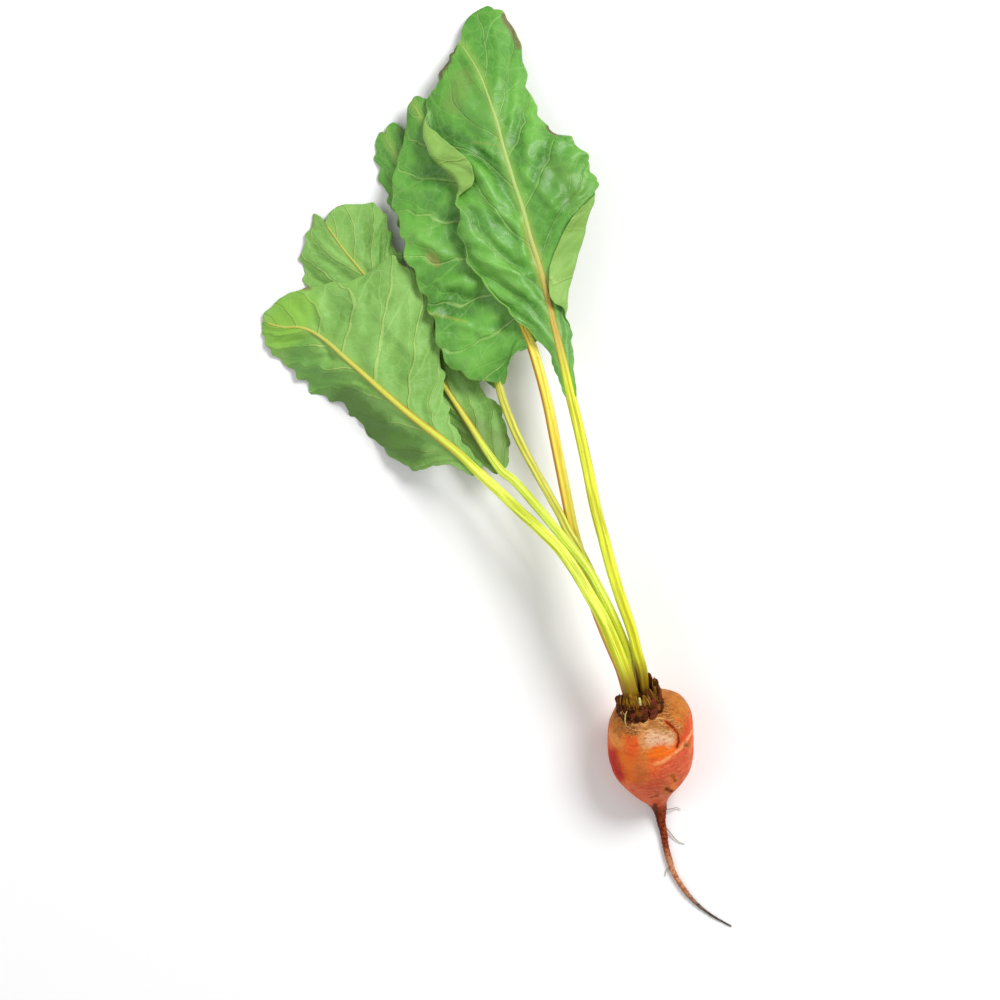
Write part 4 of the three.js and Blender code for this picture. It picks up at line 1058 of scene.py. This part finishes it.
# Blades: thin puckered sheets of green tissue on both sides of the midrib. Side veins part from it,
# fork and end in a fine net. The tissue swells between them, glossy above, paler and duller below, with
# a scalloped margin that is waved and partly folded back.
BLADE_ROWS = 210
BLADE_COLUMNS = 62
BLADE_WALL = 0.45
BLADE_FLOOR = 0.35
# The halves start inside the midrib up to this share of the blade's length, and in one line beyond it.
BLADE_JOIN = 0.92
# The tip is rounded off from this share of the length on.
TIP_START = 0.86
FOLD_RADIUS = 2.8
FOLD_EASE = 8
SIDE_VEINS = 8
VEIN_LEAN = 0.22
# Cuts into the margin: depths, and lengths along it, of the teeth, the scallops and small nicks.
TOOTH_DEPTH = 1.6
SCALLOP_LENGTH = 7.5
NICK_DEPTH = 0.8
NICK_LENGTH = 4.5
# Waves of the margin, and swellings of the tissue between the veins, in millimetres.
RUFFLE_WAVES = 5
FRILL_HEIGHT = 1.1
FRILL_LENGTH = 3.4
QUILT_DEPTH = 1.2
SWELLING_HEIGHT = 0.9
SWELLING_SIZE = 15
PUCKER_HEIGHT = 1.5
BILLOW_HEIGHT = 2.6
# Marks whose red is below this and above their green are dead tissue, which keeps to the margin.
DEAD_BROWN = 130


def crease_lift(leaf, x, y):
    """Height of the leaf's own ridges and hollows at a place in plan."""
    return sum(
        tall * math.exp(-(distance_to(path, x, y) / breadth) ** 2)
        for tall, breadth, *path in leaf["creases"]
    )


def swelling(place, size):
    """Round swellings between creases in a net of cells of that size, from -0.5 to 0.5."""
    near, second = noise.voronoi(place / size)[0][:2]
    bulge = min((second - near) / 0.6, 1)
    return bulge * bulge * (3 - 2 * bulge) - 0.5


def half_blade(leaf, side):
    """Points and attributes of one half of a blade, row by row from the rib out to the margin."""
    strand = strand_of(leaf)
    neck = len(leaf["stalk"])
    steps = len(leaf["stations"]) - 1
    margins = [station[side] for station in leaf["stations"]]
    folds = leaf.get("left_fold" if side == 1 else "right_fold")
    tip_bulge = leaf["tip_bulge"][side - 1]
    to_right = 1 if side == 2 else -1
    seed = leaf["seed"] + side
    rows = []
    along = 0.0
    before = None
    for row in range(BLADE_ROWS + 1):
        t = row / BLADE_ROWS
        place = neck + t * steps
        rib = Vector(curve_at(strand, place))
        along += (rib - before).length if before else 0
        before = rib
        right = heading(strand, place).cross(UP).normalized()
        out = Vector(curve_at(margins, t * steps)) - rib
        length = out.length
        out.normalize()
        beyond_tip = Vector((-out.y, out.x, 0)) * to_right
        squareness = max(abs(out.dot(right)), 0.5)
        inner = 0.35 * strand_size(leaf, place)[0] / squareness if t < BLADE_JOIN else 0
        fold = max(value_at(folds, t), 0) if folds else 0
        eased = max(0, min(1, fold / FOLD_EASE))

        # The cut into the margin, and how far the sheet runs with its fold.
        tooth = TOOTH_DEPTH * math.sin(2 * math.pi * leaf["teeth"] * t) * math.sin(math.pi * t)
        shifting = 2 * noise.noise(Vector((along / 19, seed, 0)))
        scallop = abs(math.sin(math.pi * along / SCALLOP_LENGTH + shifting)) - 0.5
        scallop += NICK_DEPTH * noise.noise(Vector((along / NICK_LENGTH, seed, 3)))
        cut = (tooth + scallop * min(1, length / 12)) * (1 - 0.75 * eased)
        reach = max(length + cut, inner + 0.8)
        radius = FOLD_RADIUS * eased
        flat = reach - radius
        total = reach + ((math.pi - 1) * radius + max(fold - radius, 0)) * eased
        calm = min(1, reach / 25) * math.sin(math.pi * min(t * 1.05, 1))
        rounded = tip_bulge * max(0, (t - TIP_START) / (1 - TIP_START)) ** 2
        cells = []
        for k in range(BLADE_COLUMNS + 1):
            distance = inner + (total - inner) * k / BLADE_COLUMNS
            share = min(distance / reach, 1)
            arch = math.sin(math.pi * share)
            flat_place = Vector((distance * to_right, along, leaf["seed"] * 40))
            wander = 0.2 * noise.noise(flat_place / 26) + 0.06 * noise.noise(flat_place / 9)
            phase = SIDE_VEINS * (t - VEIN_LEAN * share) + wander + 0.45 * (side - 1)

            # The place in the sheet, rolled over where it is folded back.
            angle = max(0, min(math.pi, (distance - flat) / max(radius, 0.01)))
            beyond = max(distance - flat - math.pi * radius, 0)
            rolled = radius > 0 and distance > flat
            lateral = flat + radius * math.sin(angle) - beyond if rolled else distance
            rise = radius * (1 - math.cos(angle)) if rolled else 0
            point = rib + out * lateral + beyond_tip * (rounded * arch)

            # The tissue's height: quilted between side veins, swollen, creased, waved and frilled.
            quilt = QUILT_DEPTH * math.cos(2 * math.pi * phase) * arch ** 0.7
            blister = SWELLING_HEIGHT * swelling(flat_place, SWELLING_SIZE)
            pucker = Vector((3.4 * phase, share * reach / 18, seed))
            blister += PUCKER_HEIGHT * noise.noise(pucker)
            blister *= (1 if leaf["face_up"] else -0.7) * min(1, distance / 9)
            billow = Vector((1.5 * phase, share * reach / 32, seed + 9))
            swell = BILLOW_HEIGHT * noise.noise(billow) * min(1, distance / 12)
            ridge = crease_lift(leaf, point.x, point.y) * min(1, distance / 4)
            tissue = blister + swell + ridge - quilt
            wave = leaf["ruffle"] * share * share * math.sin(2 * math.pi * RUFFLE_WAVES * t + side)
            frilling = along / FRILL_LENGTH + 3 * noise.noise(Vector((along / 14, seed, 7)))
            frill = FRILL_HEIGHT * share ** 4 * math.sin(frilling)
            lift = leaf["arch"] * arch + wave + frill + tissue
            point.z = max(point.z + lift * calm + rise, BLADE_FLOOR)
            numbers = {
                "phase": phase + (0 if leaf["face_up"] else 0.5), "share": share,
                "span": flat_place.x, "along": along,
                "forked": max(0, distance / reach - 0.38), "relief": tissue * calm,
            }
            for i, (start, end, *_) in enumerate(leaf["marks"]):
                numbers[f"mark_{i}"] = distance_to([start, end], point.x, point.y)
            cells.append((point, numbers))
        rows.append(cells)
    return rows


def vein_field(place, vein_gap):
    """How near the tissue is to a side vein, a fork of one and two nets, from 0 to 1 on it."""
    phase = attribute(place, "phase")
    forked = attribute(place, "forked")
    half_width = 0.62 - attribute(place, "share") * 0.4
    main = (phase.math("PINGPONG", 0.5) * vein_gap - half_width).step(0.45, -0.15)
    forks = []
    for lean in (1.15, -0.8):
        line = ((phase + forked * lean).math("PINGPONG", 0.5) * vein_gap).step(0.6, 0.12)
        forks.append(line * forked.step(0.0, 0.05))
    on_sheet = {0: attribute(place, "span"), 1: attribute(place, "along")}
    flat = place.node("ShaderNodeCombineXYZ", on_sheet)
    waving = {"Vector": flat, "Scale": 0.25, "Detail": 3.0}
    wobble = place.node("ShaderNodeTexNoise", waving, output="Color")
    bent = place.node("ShaderNodeVectorMath", {0: wobble, "Scale": 3.0}, operation="SCALE")
    bent = place.node("ShaderNodeVectorMath", {0: flat, 1: bent}, operation="ADD")
    nets = []
    for size in (6.5, 2.4):
        inputs = {"Vector": bent, "Scale": 1 / size}
        cell = place.node("ShaderNodeTexVoronoi", inputs, feature="DISTANCE_TO_EDGE")
        nets.append((cell * size).step(size * 0.09, size * 0.02))
    return main, forks[0].math("MAXIMUM", forks[1]), nets[0], nets[1]


def blade_material(leaf, upper_side, vein_gap):
    name = leaf["name"] + ("_upper_side" if upper_side else "_underside")
    material, principled, place = new_material(name)
    main, fork, net, fine_net = vein_field(place, vein_gap)
    cloud = grain(place, 26, 4)
    mottle = grain(place, 6, 5, 0.62)
    fine = grain(place, 0.9, 3, 0.6)
    share = attribute(place, "share")
    high = attribute(place, "relief") + (mottle - 0.5) * 1.6
    if upper_side:
        tone = layered(
            cloud.step(0.32, 0.68).paint(colour(66, 128, 36), colour(104, 170, 60)),
            (mottle.step(0.35, 0.7) * 0.5, 84, 150, 50),
            # Painted shade in the hollows of the tissue and painted light on its swellings.
            (high.step(0.2, -2.2) * 0.6, 52, 106, 28),
            (high.step(-0.2, 2.2) * 0.5, 112, 174, 68),
        )
        pale, vein_tone, vein_share = (124, 178, 78), (160, 196, 108), 0.5
    else:
        tone = layered(
            cloud.step(0.32, 0.68).paint(colour(104, 152, 62), colour(132, 180, 88)),
            (mottle.step(0.35, 0.7) * 0.5, 122, 174, 82),
            # Painted shade in the hollows of the tissue.
            (high.step(0.2, -2.2) * 0.4, 96, 146, 56),
        )
        pale, vein_tone, vein_share = (150, 194, 106), (178, 204, 112), 0.55
    wandering = mottle.step(0.3, 0.6) * 0.6 + 0.4
    near_rib = attribute(place, "span").math("ABSOLUTE").step(6, 0.5)
    rim = (share + (mottle - 0.5) * 0.04).step(0.975, 1.0)
    tone = layered(
        tone,
        (net * 0.22, *pale),
        (fine_net * 0.12, *pale),
        (fork * 0.35, *pale),
        (main * wandering * vein_share, *vein_tone),
        (near_rib * 0.45, 150, 184, 84),
        (rim * 0.45, 146, 178, 84),
    )
    for i, (_, _, start, end, shade, strength) in enumerate(leaf["marks"]):
        wander = min(start * 1.6, 9)
        far = attribute(place, f"mark_{i}") + (mottle - 0.5) * wander + (fine - 0.5) * 3
        over = far.step(start, end) * strength
        if DEAD_BROWN > shade[0] > shade[1]:
            over = over * (share + (fine - 0.5) * 0.2).step(0.84, 0.96)
        tone = over.paint(tone, colour(*shade))
    height = -1 if upper_side else 1
    connect(
        principled,
        Base_Color=tone,
        Roughness=mottle * 0.24 + (0.32 if upper_side else 0.42),
        Specular_IOR_Level=0.45 if upper_side else 0.35,
        Subsurface_Weight=0.05,
        Subsurface_Radius=(0.0008, 0.0014, 0.0004),
        Normal=relief(place, [
            (main, 0.4 * height), (fork, 0.12 * height), (net, 0.05 * height),
            (fine_net, 0.015 * height), (fine, 0.03), (mottle, 0.2),
        ]),
    )
    return material


for leaf in LEAVES:
    bm = bmesh.new()
    for side in (1, 2):
        half = half_blade(leaf, side)
        add_grid(
            bm, BLADE_COLUMNS, BLADE_ROWS,
            lambda u, v: half[round(v * BLADE_ROWS)][round(u * BLADE_COLUMNS)],
        )
        length = half[-1][0][1]["along"]
    gap = length / SIDE_VEINS * 0.8
    sides = [blade_material(leaf, upper, gap) for upper in (leaf["face_up"], not leaf["face_up"])]
    finish_piece(
        leaf["name"] + "_sheet", bm, sides, [leaf["name"] + "_blade"],
        wall=BLADE_WALL,
    )

# Ground: a plain pale floor under the plant, much wider than it.
FLOOR_HALF = 6.0
bm = bmesh.new()
bmesh.ops.create_grid(bm, x_segments=1, y_segments=1, size=FLOOR_HALF)
mesh = bpy.data.meshes.new("floor")
bm.to_mesh(mesh)
bm.free()
floor = bpy.data.objects.new("floor", mesh)
bpy.context.scene.collection.objects.link(floor)
ground, principled, place = new_material("pale_ground")
connect(principled, Base_Color=(0.9, 0.9, 0.9, 1), Roughness=0.9, Specular_IOR_Level=0.1)
mesh.materials.append(ground)

# Light: a soft round lamp from the upper right, a wider and weaker one from the left, and an even pale
# surrounding.
LAMPS = [
    ("key_light", (0.9, 1.2, 1.6), 0.9, 38),
    ("fill_light", (-1.4, 0.2, 1.7), 1.6, 9),
]
SURROUNDING_STRENGTH = 0.52
aim = Vector((-0.085, 0.147, 0.02))
for name, spot, size, power in LAMPS:
    lamp = bpy.data.lights.new(name, "AREA")
    lamp.shape = "DISK"
    lamp.size = size
    lamp.energy = power
    holder = bpy.data.objects.new(name, lamp)
    holder.location = spot
    holder.rotation_euler = (aim - Vector(spot)).to_track_quat("-Z", "Y").to_euler()
    bpy.context.scene.collection.objects.link(holder)
world = bpy.data.worlds.new("surrounding")
world.use_nodes = True
world.node_tree.nodes["Background"].inputs["Color"].default_value = (1, 1, 1, 1)
world.node_tree.nodes["Background"].inputs["Strength"].default_value = SURROUNDING_STRENGTH
bpy.context.scene.world = world
bpy.context.scene.view_settings.view_transform = "Standard"

# Camera: straight above the plant, as the photograph was taken.
CAMERA_HEIGHT = 2.4
CAMERA_SHIFT = (-0.0003, 0.0003)
FRAMED = 0.58
camera_data = bpy.data.cameras.new("camera")
camera_data.sensor_fit = "HORIZONTAL"
camera_data.angle = 2 * math.atan(FRAMED / 2 / CAMERA_HEIGHT)
camera = bpy.data.objects.new("camera", camera_data)
camera.location = (aim.x + CAMERA_SHIFT[0], aim.y + CAMERA_SHIFT[1], aim.z + CAMERA_HEIGHT)
bpy.context.scene.collection.objects.link(camera)
bpy.context.scene.camera = camera
